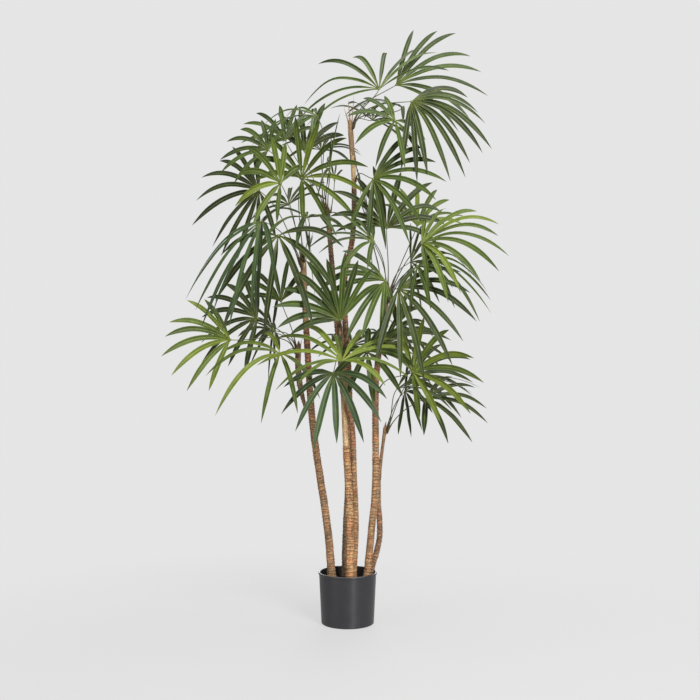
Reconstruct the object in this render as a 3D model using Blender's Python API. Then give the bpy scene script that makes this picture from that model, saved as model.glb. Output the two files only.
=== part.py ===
# Artificial lady palm, 1.8 m tall, in a plain black nursery pot.
# A pot with a cast fill carries seven slender stems, and each stem carries its own
# fan fronds. Metres, +Z up, the front looks along +Y, and the origin is the centre
# of the pot's flat underside.

import math
import random
from collections import namedtuple

import bmesh
import bpy
from mathutils import Matrix, Vector
from mathutils.bvhtree import BVHTree

UP = Vector((0.0, 0.0, 1.0))

# Clearances
SEAT_GAP = 0.0003
FILL_GAP = 0.0006
LEAF_CLEARANCE = 0.0004
STALK_CLEARANCE = 0.0004

# Edges sharper than this, in degrees, stay crisp under smooth shading
POT_CRISP = 30
BARK_CRISP = 50
MERGE_DISTANCE = 1e-6

# Pot and fill
POT_HEIGHT = 0.154
POT_RIM_RADIUS = 0.088
POT_FOOT_RADIUS = 0.079
POT_WALL = 0.0026
POT_FLOOR = 0.004
POT_LIP = 0.0022
POT_LIP_HEIGHT = 0.007
POT_FOOT_CHAMFER = 0.003
POT_SEGMENTS = 48
FILL_TOP = 0.124

# Stems
STEM_SIDES = 9
STEM_RING_STEP = 0.055
STEM_FLARE = 0.14
STEM_FLARE_HEIGHT = 0.035
FOOT = FILL_TOP + SEAT_GAP

# Leaf stalks
STALK_SIDES = 3
STALK_RINGS = 6
STALK_FOOT_RADIUS = 0.0024
STALK_END_RADIUS = 0.0017
STALK_BELOW_TIP = 0.006
STALK_SPLAY = 0.30
STALK_REACH_UP = 0.42
STALK_REACH_BACK = 0.30
STALK_FOLLOWS_FAN = 0.6
STALK_FOOT_STEP = 0.007
STALK_FOOT_TURN = math.radians(24.0)
STALK_TURNS = (0, 1, -1, 2, -2)
STALK_STEPS = 8
KNOT_RADIUS = 0.0088
KNOT_FLATNESS = 0.42

# Leaflets
LEAF_STATIONS = (0.0, 0.34, 0.7)
LEAF_ROOT = 0.005
LEAF_ROOT_WIDTH = 0.18
LEAF_WIDEST_AT = 0.45
LEAF_TAPER_FROM = 0.5
LEAF_TAPER_POWER = 2.0
LEAF_ARCH = 0.32
LEAF_THICKNESS = 0.0112
LEAF_KEEL_LEAST = 0.55
OUTER_SHORTENING = 0.38
FULL_FAN = 240.0
ANGLE_JITTER = math.radians(3.2)
LIFT_JITTER = math.radians(5.5)
LENGTH_JITTER = 0.08
DROOP_JITTER = 0.2
TURN_ASIDE = math.radians(3.0)
LIFT_ASIDE = math.radians(2.4)
LEAF_TRIES = 13
SEED = 41

# A ray from outside the bark finds the surface that a foot is seated on
SEAT_RAY = 0.1

# Colours are linear red, green and blue
POT_COLOUR = (0.055, 0.055, 0.060)
POT_ROUGHNESS = 0.55
FILL_COLOUR = (0.030, 0.028, 0.026)
FILL_ROUGHNESS = 0.95
BARK_TAN = (0.36, 0.20, 0.09)
BARK_RED = (0.20, 0.085, 0.045)
BARK_DARK = (0.11, 0.055, 0.035)
BARK_ROUGHNESS = 0.85
LEAF_ROUGHNESS = 0.45

# A stem runs from its foot through its bends to its tip; radii at foot, middle and tip.
Stem = namedtuple("Stem", "name route radii colour")

STEMS = (
    Stem(
        "stem_left",
        ((-0.046, -0.012, FOOT), (-0.062, -0.010, 0.300), (-0.104, -0.002, 0.590),
         (-0.124, 0.006, 0.870), (-0.135, 0.020, 1.105)),
        (0.0120, 0.0104, 0.0080), BARK_TAN,
    ),
    Stem(
        "stem_front",
        ((0.007, -0.045, FOOT), (0.005, -0.041, 0.360), (-0.006, -0.028, 0.550),
         (-0.016, 0.002, 0.730), (-0.036, 0.022, 0.940), (-0.0615, 0.040, 1.246)),
        (0.0118, 0.0098, 0.0068), BARK_TAN,
    ),
    Stem(
        "stem_tall",
        ((-0.006, 0.035, FOOT), (-0.007, 0.035, 0.230), (0.006, 0.036, 0.520),
         (0.003, 0.040, 0.740), (-0.011, 0.045, 1.010), (0.0155, 0.050, 1.170),
         (0.019, 0.050, 1.330), (0.007, 0.050, 1.514)),
        (0.0100, 0.0092, 0.0072), BARK_RED,
    ),
    Stem(
        "stem_centre",
        ((0.016, -0.006, FOOT), (0.024, -0.008, 0.290), (0.019, -0.012, 0.440),
         (0.0135, -0.024, 0.585), (-0.006, -0.045, 0.716), (-0.024, -0.060, 0.894)),
        (0.0096, 0.0088, 0.0076), BARK_RED,
    ),
    Stem(
        "stem_right",
        ((0.056, -0.020, FOOT), (0.070, -0.020, 0.270), (0.083, -0.020, 0.420),
         (0.084, -0.020, 0.700), (0.097, -0.020, 0.840), (0.1195, -0.020, 1.000)),
        (0.0108, 0.0100, 0.0080), BARK_TAN,
    ),
    Stem(
        "stem_right_short",
        ((0.064, 0.012, FOOT), (0.0705, 0.013, 0.154), (0.0960, 0.014, 0.255),
         (0.093, 0.014, 0.370), (0.096, 0.012, 0.450), (0.113, 0.010, 0.585)),
        (0.0076, 0.0074, 0.0044), BARK_RED,
    ),
)

# The side shoot starts against the left stem and climbs beside it.
SHOOT_MOTHER = "stem_left"
SHOOT_HEIGHT = 0.640
SHOOT_BEARING = math.radians(180.0)
SIDE_SHOOT = Stem(
    "stem_left_side",
    ((-0.1310, 0.000, 0.6610), (-0.1434, 0.000, 0.715), (-0.1500, 0.000, 0.780),
     (-0.1480, 0.000, 0.829)),
    (0.0042, 0.0095, 0.0078), BARK_DARK,
)

# Each fan frond: the stem that carries it and how far below the tip its stalk starts,
# the place of its knot, then how the fan is held. The clock is the middle leaflet's
# direction as the front view shows it, counted from the right upwards; the lean tips it
# away from the viewer; the turn rolls the fan about that middle leaflet, and at zero the
# fan faces the viewer. Angles are in degrees, lengths in metres, and the droop is how
# far a tip sags as a share of its leaflet's length.
Frond = namedtuple(
    "Frond", "name stem drop knot clock lean turn spread leaflets reach blade droop shade"
)

SHADES = {
    "dark": (0.030, 0.060, 0.022),
    "mid": (0.075, 0.130, 0.035),
    "light": (0.190, 0.270, 0.060),
    "blue": (0.055, 0.110, 0.060),
}

FRONDS = (
    Frond("frond_tall_1", "stem_tall", 0.005, (0.095, 0.020, 1.610),
          112, 46, 0, 176, 9, 0.315, 0.014, 0.08, "mid"),
    Frond("frond_tall_2", "stem_tall", 0.000, (0.150, 0.090, 1.640),
          22, 10, -15, 108, 8, 0.282, 0.014, 0.09, "mid"),
    Frond("frond_tall_3", "stem_tall", 0.010, (0.190, -0.030, 1.560),
          -36, -20, -20, 124, 11, 0.236, 0.016, 0.28, "dark"),
    Frond("frond_tall_4", "stem_tall", 0.015, (0.140, -0.070, 1.495),
          225, -35, 0, 240, 8, 0.155, 0.015, 0.10, "mid"),
    Frond("frond_tall_5", "stem_tall", 0.010, (0.170, 0.130, 1.580),
          170, 0, 75, 190, 8, 0.175, 0.012, 0.28, "dark"),
    Frond("frond_tall_6", "stem_tall", 0.175, (0.075, -0.060, 1.325),
          -28, -24, -5, 165, 10, 0.220, 0.015, 0.08, "mid"),
    Frond("frond_tall_7", "stem_tall", 0.020, (0.080, 0.220, 1.560),
          60, 62, 0, 200, 8, 0.200, 0.015, 0.12, "dark"),
    Frond("frond_tall_8", "stem_tall", 0.060, (0.030, 0.200, 1.395),
          90, 60, 80, 190, 7, 0.205, 0.016, 0.12, "mid"),

    Frond("frond_front_1", "stem_front", 0.005, (-0.040, 0.030, 1.335),
          95, 0, 60, 100, 5, 0.075, 0.007, 0.05, "dark"),
    Frond("frond_front_2", "stem_front", 0.010, (-0.135, 0.150, 1.445),
          85, 15, 0, 110, 6, 0.180, 0.018, 0.04, "dark"),
    Frond("frond_front_3", "stem_front", 0.000, (-0.095, 0.000, 1.525),
          186, 0, 65, 170, 7, 0.190, 0.013, 0.18, "mid"),
    Frond("frond_front_4", "stem_front", 0.015, (-0.195, 0.120, 1.475),
          115, 25, 0, 170, 8, 0.165, 0.014, 0.06, "mid"),
    Frond("frond_front_5", "stem_front", 0.020, (-0.240, 0.020, 1.425),
          156, 22, 20, 190, 9, 0.158, 0.014, 0.08, "mid"),
    Frond("frond_front_6", "stem_front", 0.025, (-0.085, 0.200, 1.460),
          80, 55, 0, 220, 8, 0.170, 0.014, 0.12, "dark"),
    Frond("frond_front_7", "stem_front", 0.030, (-0.050, -0.150, 1.340),
          90, -60, 80, 190, 7, 0.190, 0.015, 0.12, "mid"),

    Frond("frond_left_1", "stem_left", 0.000, (-0.135, -0.070, 1.325),
          40, -18, 22, 265, 11, 0.212, 0.015, 0.10, "light"),
    Frond("frond_left_2", "stem_left", 0.010, (-0.195, -0.100, 1.305),
          150, -30, 10, 220, 8, 0.165, 0.016, 0.10, "light"),
    Frond("frond_left_3", "stem_left", 0.020, (-0.270, 0.040, 1.305),
          198, 22, 12, 195, 11, 0.222, 0.015, 0.08, "dark"),
    Frond("frond_left_4", "stem_left", 0.015, (-0.120, -0.030, 1.215),
          178, 0, 72, 320, 9, 0.210, 0.015, 0.20, "mid"),
    Frond("frond_left_5", "stem_left", 0.030, (-0.250, -0.100, 1.195),
          240, -24, 48, 96, 9, 0.278, 0.015, 0.24, "blue"),
    Frond("frond_left_6", "stem_left", 0.035, (-0.200, -0.130, 1.150),
          262, -20, 20, 165, 7, 0.270, 0.018, 0.14, "dark"),
    Frond("frond_left_7", "stem_left", 0.030, (-0.190, 0.200, 1.285),
          120, 55, 0, 200, 8, 0.190, 0.015, 0.12, "dark"),
    Frond("frond_left_8", "stem_left", 0.050, (-0.120, 0.160, 1.130),
          90, 60, 80, 190, 7, 0.195, 0.016, 0.12, "mid"),

    Frond("frond_left_side_1", "stem_left_side", 0.000, (-0.205, 0.070, 0.970),
          105, 15, 0, 140, 7, 0.160, 0.014, 0.04, "mid"),
    Frond("frond_left_side_2", "stem_left_side", 0.010, (-0.270, -0.020, 0.915),
          175, 16, 12, 165, 9, 0.200, 0.015, 0.07, "dark"),
    Frond("frond_left_side_3", "stem_left_side", 0.015, (-0.345, -0.070, 0.850),
          180, -22, 12, 120, 8, 0.205, 0.015, 0.05, "light"),
    Frond("frond_left_side_4", "stem_left_side", 0.010, (-0.225, 0.100, 0.875),
          170, -20, 65, 180, 6, 0.130, 0.014, 0.10, "dark"),
    Frond("frond_left_side_5", "stem_left_side", 0.025, (-0.195, -0.120, 0.810),
          210, -30, 30, 210, 7, 0.210, 0.013, 0.25, "light"),
    Frond("frond_left_side_6", "stem_left_side", 0.020, (-0.240, 0.190, 0.885),
          180, 52, 0, 200, 8, 0.175, 0.014, 0.12, "dark"),

    Frond("frond_centre_1", "stem_centre", 0.000, (-0.020, -0.160, 0.905),
          118, -18, 0, 150, 11, 0.210, 0.017, 0.03, "mid"),
    Frond("frond_centre_2", "stem_centre", 0.040, (-0.015, -0.220, 0.790),
          92, 58, 0, 260, 11, 0.275, 0.017, 0.10, "light"),
    Frond("frond_centre_3", "stem_centre", 0.080, (-0.040, -0.170, 0.755),
          265, -24, 10, 150, 8, 0.200, 0.017, 0.10, "blue"),
    Frond("frond_centre_4", "stem_centre", 0.060, (0.055, -0.130, 0.815),
          -45, -25, 0, 280, 9, 0.155, 0.018, 0.10, "mid"),
    Frond("frond_centre_5", "stem_centre", 0.020, (0.015, 0.130, 0.835),
          90, 65, 0, 220, 8, 0.180, 0.015, 0.12, "dark"),

    Frond("frond_right_1", "stem_right", 0.000, (0.115, -0.060, 1.180),
          85, 20, 0, 190, 10, 0.220, 0.017, 0.06, "dark"),
    Frond("frond_right_2", "stem_right", 0.010, (0.075, -0.120, 1.135),
          166, 0, 50, 180, 8, 0.190, 0.013, 0.10, "mid"),
    Frond("frond_right_3", "stem_right", 0.012, (0.215, -0.100, 1.130),
          14, -20, -45, 165, 12, 0.256, 0.015, 0.22, "light"),
    Frond("frond_right_4", "stem_right", 0.020, (0.230, 0.000, 1.095),
          -12, 16, -55, 145, 8, 0.238, 0.015, 0.22, "mid"),
    Frond("frond_right_5", "stem_right", 0.030, (0.200, -0.140, 1.060),
          -50, -45, 0, 160, 6, 0.135, 0.014, 0.10, "mid"),
    Frond("frond_right_6", "stem_right", 0.035, (0.145, -0.150, 0.995),
          -38, -24, -10, 128, 8, 0.245, 0.016, 0.16, "dark"),
    Frond("frond_right_7", "stem_right", 0.030, (0.110, -0.120, 1.020),
          208, -26, 10, 140, 8, 0.205, 0.016, 0.10, "mid"),
    Frond("frond_right_8", "stem_right", 0.005, (0.215, 0.090, 1.205),
          75, 34, 0, 130, 8, 0.185, 0.014, 0.05, "light"),
    Frond("frond_right_9", "stem_right", 0.200, (0.110, 0.070, 0.835),
          15, 24, -35, 120, 8, 0.225, 0.016, 0.08, "dark"),
    Frond("frond_right_10", "stem_right", 0.300, (0.190, -0.100, 0.755),
          25, -22, 0, 215, 9, 0.202, 0.016, 0.08, "light"),
    Frond("frond_right_11", "stem_right", 0.020, (0.200, 0.180, 1.100),
          0, 50, 0, 180, 8, 0.190, 0.014, 0.12, "dark"),
    Frond("frond_right_12", "stem_right", 0.120, (0.160, 0.200, 0.900),
          20, 50, 0, 200, 8, 0.190, 0.014, 0.12, "dark"),
    Frond("frond_right_13", "stem_right", 0.004, (0.070, 0.150, 1.190),
          90, 60, 80, 190, 7, 0.195, 0.016, 0.12, "mid"),

    Frond("frond_right_short_1", "stem_right_short", 0.005, (0.195, 0.060, 0.735),
          14, 24, -30, 110, 6, 0.215, 0.014, 0.10, "dark"),
    Frond("frond_right_short_2", "stem_right_short", 0.000, (0.150, 0.000, 0.705),
          2, 0, -78, 140, 7, 0.270, 0.013, 0.02, "dark"),
    Frond("frond_right_short_3", "stem_right_short", 0.010, (0.235, -0.020, 0.675),
          -16, -16, -45, 150, 7, 0.188, 0.016, 0.08, "dark"),
    Frond("frond_right_short_4", "stem_right_short", 0.015, (0.180, 0.150, 0.690),
          -10, 50, 0, 180, 8, 0.170, 0.014, 0.12, "dark"),
)


def clear_scene():
    """Empties the scene before the plant is made."""
    for thing in list(bpy.data.objects):
        bpy.data.objects.remove(thing, do_unlink=True)


def make_material(name, colour, roughness):
    material = bpy.data.materials.new(name)
    material.use_nodes = True
    shader = material.node_tree.nodes["Principled BSDF"]
    shader.inputs["Base Color"].default_value = (*colour, 1.0)
    shader.inputs["Roughness"].default_value = roughness
    shader.inputs["Metallic"].default_value = 0.0
    return material


def make_object(name, mesh, material, crisp=None):
    thing = bpy.data.objects.new(name, mesh)
    bpy.context.scene.collection.objects.link(thing)
    mesh.materials.clear()
    mesh.materials.append(material)
    if crisp is not None:
        mesh.shade_smooth()
        mesh.set_sharp_from_angle(angle=math.radians(crisp))
    return thing


def mesh_from(bm, name):
    bmesh.ops.recalc_face_normals(bm, faces=bm.faces)
    mesh = bpy.data.meshes.new(name)
    bm.to_mesh(mesh)
    bm.free()
    return mesh


def turned(profile, name):
    """Closed body of revolution about the Z axis from an (r, z) outline on that axis."""
    bm = bmesh.new()
    verts = [bm.verts.new((radius, 0.0, height)) for radius, height in profile]
    edges = [bm.edges.new(pair) for pair in zip(verts, verts[1:])]
    bmesh.ops.spin(
        bm, geom=verts + edges, cent=(0.0, 0.0, 0.0), axis=UP, dvec=(0.0, 0.0, 0.0),
        angle=math.tau, steps=POT_SEGMENTS, use_merge=True,
    )
    bmesh.ops.remove_doubles(bm, verts=bm.verts, dist=MERGE_DISTANCE)
    return mesh_from(bm, name)


def skin(bm, rings, tip=None):
    """Closed skin over rings of points, ended by a flat cap or by one tip point."""
    loops = [[bm.verts.new(point) for point in ring] for ring in rings]
    count = len(loops[0])
    bm.faces.new(loops[0][::-1])
    for low, high in zip(loops, loops[1:]):
        for i in range(count):
            j = (i + 1) % count
            bm.faces.new((low[i], low[j], high[j], high[i]))
    last = loops[-1]
    if tip is None:
        bm.faces.new(last)
        return
    point = bm.verts.new(tip)
    for i in range(count):
        bm.faces.new((last[i], last[(i + 1) % count], point))


def tube_rings(route, radii, sides, start, flat_foot=False):
    """Rings of points round a route; the first corner of the first ring looks to start."""
    rings = []
    side = start
    for index, centre in enumerate(route):
        before = route[max(index - 1, 0)]
        after = route[min(index + 1, len(route) - 1)]
        along = (after - before).normalized()
        if flat_foot and index == 0:
            along = UP
        side = (side - along * side.dot(along)).normalized()
        across = along.cross(side)
        ring = []
        for corner in range(sides):
            angle = math.tau * corner / sides
            ring.append(centre + radii[index] * (side * math.cos(angle) + across * math.sin(angle)))
        rings.append(ring)
    return rings


def curve_through(points, step):
    """Even steps along one smooth curve through the points (Catmull-Rom)."""
    knots = [Vector(point) for point in points]
    ends = [2 * knots[0] - knots[1]] + knots + [2 * knots[-1] - knots[-2]]
    route = [knots[0]]
    for a, b, c, d in zip(ends, ends[1:], ends[2:], ends[3:]):
        pieces = max(1, round((c - b).length / step))
        for piece in range(1, pieces + 1):
            t = piece / pieces
            route.append(0.5 * (
                2 * b + (c - a) * t + (2 * a - 5 * b + 4 * c - d) * t ** 2
                + (3 * b - a - 3 * c + d) * t ** 3
            ))
    return route


class Trunk:
    """A stem's centre line and radii, with its solid's surface for seating stalks."""

    def __init__(self, stem, flared=True):
        self.stem = stem
        self.route = curve_through(stem.route, STEM_RING_STEP)
        foot, middle, tip = stem.radii
        last = len(self.route) - 1
        self.radii = []
        for index, centre in enumerate(self.route):
            t = index / last
            radius = foot + (middle - foot) * 2 * t if t < 0.5 else middle + (tip - middle) * (2 * t - 1)
            rise = centre.z - self.route[0].z
            if flared:
                radius *= 1 + STEM_FLARE * max(0.0, 1 - rise / STEM_FLARE_HEIGHT)
            self.radii.append(radius)
        rings = tube_rings(self.route, self.radii, STEM_SIDES, Vector((1.0, 0.0, 0.0)), flared)
        bm = bmesh.new()
        skin(bm, rings)
        self.tree = BVHTree.FromBMesh(bm)
        self.mesh = mesh_from(bm, stem.name)

    def axis_at(self, height):
        """The centre line's point and direction at a height."""
        for low, high in zip(self.route, self.route[1:]):
            if low.z <= height <= high.z:
                t = (height - low.z) / (high.z - low.z)
                return low.lerp(high, t), (high - low).normalized()
        return self.route[-1].copy(), (self.route[-1] - self.route[-2]).normalized()

    def seat(self, height, bearing, radius):
        """Centre of a round foot that lies against the bark at a height and bearing."""
        centre, along = self.axis_at(height)
        out = Vector((math.cos(bearing), math.sin(bearing), 0.0))
        out = (out - along * out.dot(along)).normalized()
        hit = self.tree.ray_cast(centre + out * SEAT_RAY, -out, SEAT_RAY)[0]
        return hit + out * (SEAT_GAP + radius), along, out


class Space:
    """Every solid placed so far, asked whether a new one would touch them."""

    def __init__(self):
        self.taken = []

    def bounds(self, bm):
        xs, ys, zs = zip(*(vert.co for vert in bm.verts))
        return (min(xs), min(ys), min(zs)), (max(xs), max(ys), max(zs))

    def add(self, owner, bm):
        self.taken.append((owner, *self.bounds(bm), BVHTree.FromBMesh(bm)))

    def is_free(self, owner, bm):
        low, high = self.bounds(bm)
        tree = None
        for other, other_low, other_high, other_tree in self.taken:
            if other == owner:
                continue
            apart = any(
                low[axis] > other_high[axis] or high[axis] < other_low[axis] for axis in range(3)
            )
            if apart:
                continue
            tree = tree or BVHTree.FromBMesh(bm)
            if tree.overlap(other_tree):
                return False
        return True


def fan_axes(frond):
    """The fan's middle direction, its sideways direction and the way its face looks."""
    clock = math.radians(frond.clock)
    lean = math.radians(frond.lean)
    turn = math.radians(frond.turn)
    middle = Vector((
        math.cos(clock) * math.cos(lean), math.sin(lean), math.sin(clock) * math.cos(lean)
    ))
    flat_side = Vector((-math.sin(clock), 0.0, math.cos(clock)))
    flat_face = middle.cross(flat_side)
    side = flat_side * math.cos(turn) + flat_face * math.sin(turn)
    return middle, side, middle.cross(side)


def blade_share(t):
    """A leaflet's width at t along it, as a share of its full width."""
    rise = min(t / LEAF_WIDEST_AT, 1.0)
    rise = LEAF_ROOT_WIDTH + (1 - LEAF_ROOT_WIDTH) * rise * rise * (3 - 2 * rise)
    fall = max(0.0, (t - LEAF_TAPER_FROM) / (1 - LEAF_TAPER_FROM))
    return rise * (1 - fall ** LEAF_TAPER_POWER)


class Leaflet:
    """One drooping strap of a fan, keeled below like a shallow V."""

    def __init__(self, frond, axes, index, draw):
        share = index / (frond.leaflets - 1) - 0.5
        self.angle = math.radians(frond.spread) * share + draw.uniform(-1, 1) * ANGLE_JITTER
        self.lift = draw.uniform(-1, 1) * LIFT_JITTER
        short = 1 - OUTER_SHORTENING * (2 * share) ** 2 * min(1.0, frond.spread / FULL_FAN)
        self.length = frond.reach * short * (1 + draw.uniform(-1, 1) * LENGTH_JITTER)
        self.droop = frond.droop * (1 + draw.uniform(-1, 1) * DROOP_JITTER)
        self.width = frond.blade * (1 + draw.uniform(-1, 1) * LENGTH_JITTER)
        self.knot = Vector(frond.knot)
        self.axes = axes

    def heading(self, aside, raised):
        middle, side, face = self.axes
        angle = self.angle + aside
        lift = self.lift + raised
        flat = middle * math.cos(angle) + side * math.sin(angle)
        return flat * math.cos(lift) + face * math.sin(lift)

    def frame_at(self, heading, t):
        """Point, sideways direction and upward direction of the strap at t."""
        run = LEAF_ROOT + (self.length - LEAF_ROOT) * t
        arch = LEAF_ARCH * math.sqrt(max(0.0, 1 - heading.z ** 2))
        rise = self.length * (arch * t * (1 - t) - self.droop * t ** 2)
        slope = arch * (1 - 2 * t) - 2 * self.droop * t
        point = self.knot + heading * run + UP * rise
        along = (heading + UP * slope).normalized()
        side = self.axes[2].cross(along).normalized()
        return point, side, along.cross(side)

    def build(self, bm, heading, spare):
        """Adds the strap; spare wraps it all round for a clearance test."""
        rings = []
        depth = LEAF_THICKNESS * self.length
        for t in LEAF_STATIONS:
            point, side, face = self.frame_at(heading, t)
            half = 0.5 * self.width * blade_share(t) + spare
            keel = depth * (LEAF_KEEL_LEAST + (1 - LEAF_KEEL_LEAST) * blade_share(t)) + spare
            corners = [(half, spare), (-half, spare), (0.0, -keel)]
            if spare:
                corners[2:] = [(-half, -spare), (0.0, -keel), (half, -spare)]
            rings.append([point + side * across + face * up for across, up in corners])
        tip = self.frame_at(heading, 1.0)[0]
        skin(bm, rings, tip + heading * spare)


class Stalk:
    """A frond's leaf stalk, from its foot against the bark to the fan's knot."""

    def __init__(self, frond, axes, trunk):
        self.frond = frond
        self.trunk = trunk
        self.knot = Vector(frond.knot)
        self.middle, self.side, self.face = axes
        tip = trunk.route[-1]
        away = self.knot - tip
        self.bearing = math.atan2(away.y, away.x)
        self.top = tip.z - STALK_BELOW_TIP - frond.drop

    def route(self, step, turn):
        """Smooth rise along the bark and out to the knot."""
        height = self.top - step * STALK_FOOT_STEP
        bearing = self.bearing + turn * STALK_FOOT_TURN
        foot, along, out = self.trunk.seat(height, bearing, STALK_FOOT_RADIUS)
        span = (self.knot - foot).length
        aim = ((self.knot - foot) / span + self.middle * STALK_FOLLOWS_FAN).normalized()
        first = foot + (along + out * STALK_SPLAY).normalized() * span * STALK_REACH_UP
        second = self.knot - aim * span * STALK_REACH_BACK
        points = []
        for index in range(STALK_RINGS):
            t = index / (STALK_RINGS - 1)
            points.append(
                foot * (1 - t) ** 3 + first * 3 * t * (1 - t) ** 2
                + second * 3 * t ** 2 * (1 - t) + self.knot * t ** 3
            )
        return points, -out

    def build(self, bm, points, start, spare):
        radii = []
        for index in range(STALK_RINGS):
            t = index / (STALK_RINGS - 1)
            radii.append(STALK_FOOT_RADIUS + (STALK_END_RADIUS - STALK_FOOT_RADIUS) * t + spare)
        skin(bm, tube_rings(points, radii, STALK_SIDES, start))

    def build_knot(self, bm, spare):
        """A flat little palm at the stalk's end, in the plane of the fan."""
        made = bmesh.ops.create_icosphere(bm, subdivisions=1, radius=KNOT_RADIUS + spare)
        plane = Matrix((self.middle, self.side, self.face * KNOT_FLATNESS)).transposed()
        bmesh.ops.transform(bm, matrix=plane.to_4x4(), verts=made["verts"])
        bmesh.ops.translate(bm, verts=made["verts"], vec=self.knot)


def place_stalk(frond, axes, trunk, space):
    """Walks the stalk's foot round and down the stem until the stalk is clear."""
    stalk = Stalk(frond, axes, trunk)
    for step in range(STALK_STEPS):
        for turn in STALK_TURNS:
            points, start = stalk.route(step, turn)
            test = bmesh.new()
            stalk.build(test, points, start, 0.0)
            clear_of_bark = not BVHTree.FromBMesh(test).overlap(trunk.tree)
            test.free()
            test = bmesh.new()
            stalk.build(test, points, start, STALK_CLEARANCE)
            stalk.build_knot(test, STALK_CLEARANCE)
            clear_of_rest = space.is_free(trunk.stem.name, test)
            test.free()
            if clear_of_bark and clear_of_rest:
                solid = bmesh.new()
                stalk.build(solid, points, start, 0.0)
                stalk.build_knot(solid, 0.0)
                space.add(frond.name, solid)
                solid.free()
                return stalk, points, start
    raise RuntimeError("no clear way for the stalk of " + frond.name)


def place_leaflets(frond, axes, space):
    """Leaflets of one fan; one that would touch is turned aside, or else left out."""
    draw = random.Random(frond.name + str(SEED))
    placed = []
    for index in range(frond.leaflets):
        leaflet = Leaflet(frond, axes, index, draw)
        for attempt in range(LEAF_TRIES):
            sway = (attempt + 1) // 2 * (1 if attempt % 2 else -1)
            tilt = sway if attempt % 4 < 2 else -sway
            heading = leaflet.heading(TURN_ASIDE * sway, LIFT_ASIDE * tilt)
            test = bmesh.new()
            leaflet.build(test, heading, LEAF_CLEARANCE)
            free = space.is_free(frond.name, test)
            test.free()
            if free:
                solid = bmesh.new()
                leaflet.build(solid, heading, 0.0)
                space.add(frond.name, solid)
                solid.free()
                placed.append((leaflet, heading))
                break
    return placed


def make_pot(material):
    lip_foot = POT_HEIGHT - POT_LIP_HEIGHT
    wall_top = POT_RIM_RADIUS - POT_LIP
    mouth = wall_top - POT_WALL
    outline = (
        (0.0, 0.0),
        (POT_FOOT_RADIUS - POT_FOOT_CHAMFER, 0.0),
        (POT_FOOT_RADIUS, POT_FOOT_CHAMFER),
        (wall_top, lip_foot),
        (POT_RIM_RADIUS, lip_foot + POT_LIP),
        (POT_RIM_RADIUS, POT_HEIGHT),
        (mouth, POT_HEIGHT),
        (POT_FOOT_RADIUS - POT_WALL, POT_FLOOR),
        (0.0, POT_FLOOR),
    )
    return make_object("pot", turned(outline, "pot"), material, POT_CRISP)


def inner_radius(height):
    """The pot's inner radius at a height."""
    bottom = POT_FOOT_RADIUS - POT_WALL
    mouth = POT_RIM_RADIUS - POT_LIP - POT_WALL
    return bottom + (mouth - bottom) * (height - POT_FLOOR) / (POT_HEIGHT - POT_FLOOR)


def make_fill(material):
    bottom = POT_FLOOR + SEAT_GAP
    outline = (
        (0.0, bottom),
        (inner_radius(bottom) - FILL_GAP, bottom),
        (inner_radius(FILL_TOP) - FILL_GAP, FILL_TOP),
        (0.0, FILL_TOP),
    )
    return make_object("fill", turned(outline, "fill"), material)


def make_stems(space):
    trunks = {}
    for stem in STEMS:
        trunks[stem.name] = Trunk(stem)
    mother = trunks[SHOOT_MOTHER]
    foot = mother.seat(SHOOT_HEIGHT, SHOOT_BEARING, SIDE_SHOOT.radii[0])[0]
    shoot = SIDE_SHOOT._replace(route=(tuple(foot), *SIDE_SHOOT.route))
    trunks[shoot.name] = Trunk(shoot, flared=False)
    for name, trunk in trunks.items():
        bark = make_material(name + "_bark", trunk.stem.colour, BARK_ROUGHNESS)
        make_object(name, trunk.mesh, bark, BARK_CRISP)
        solid = bmesh.new()
        solid.from_mesh(trunk.mesh)
        space.add(name, solid)
        solid.free()
    return trunks


def join_frond(frond, stalk, points, start, leaflets, material):
    """One union of the stalk, its knot and the leaflets, whose roots sink into the knot."""
    bm = bmesh.new()
    stalk.build(bm, points, start, 0.0)
    body = make_object(frond.name, mesh_from(bm, frond.name), material)
    parts = bpy.data.collections.new(frond.name + "_parts")
    bpy.context.scene.collection.children.link(parts)
    pieces = []
    bm = bmesh.new()
    stalk.build_knot(bm, 0.0)
    pieces.append(mesh_from(bm, "knot"))
    for leaflet, heading in leaflets:
        bm = bmesh.new()
        leaflet.build(bm, heading, 0.0)
        pieces.append(mesh_from(bm, "leaflet"))
    for mesh in pieces:
        parts.objects.link(bpy.data.objects.new(mesh.name, mesh))
    union = body.modifiers.new("union", "BOOLEAN")
    union.operation = "UNION"
    union.operand_type = "COLLECTION"
    union.collection = parts
    union.solver = "EXACT"
    graph = bpy.context.evaluated_depsgraph_get()
    joined = bpy.data.meshes.new_from_object(body.evaluated_get(graph))
    joined.name = frond.name
    body.modifiers.clear()
    body.data = joined
    for thing in list(parts.objects):
        bpy.data.objects.remove(thing, do_unlink=True)
    bpy.data.collections.remove(parts)
    joined.materials.clear()
    joined.materials.append(material)
    return body


def main():
    clear_scene()
    space = Space()
    make_pot(make_material("pot_plastic", POT_COLOUR, POT_ROUGHNESS))
    make_fill(make_material("fill_cement", FILL_COLOUR, FILL_ROUGHNESS))
    trunks = make_stems(space)
    leaf_materials = {
        shade: make_material("leaf_" + shade, colour, LEAF_ROUGHNESS)
        for shade, colour in SHADES.items()
    }
    axes = {frond.name: fan_axes(frond) for frond in FRONDS}
    stalks = {
        frond.name: place_stalk(frond, axes[frond.name], trunks[frond.stem], space)
        for frond in FRONDS
    }
    for frond in FRONDS:
        stalk, points, start = stalks[frond.name]
        leaflets = place_leaflets(frond, axes[frond.name], space)
        join_frond(frond, stalk, points, start, leaflets, leaf_materials[frond.shade])


if __name__ == "__main__":
    main()
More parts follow.
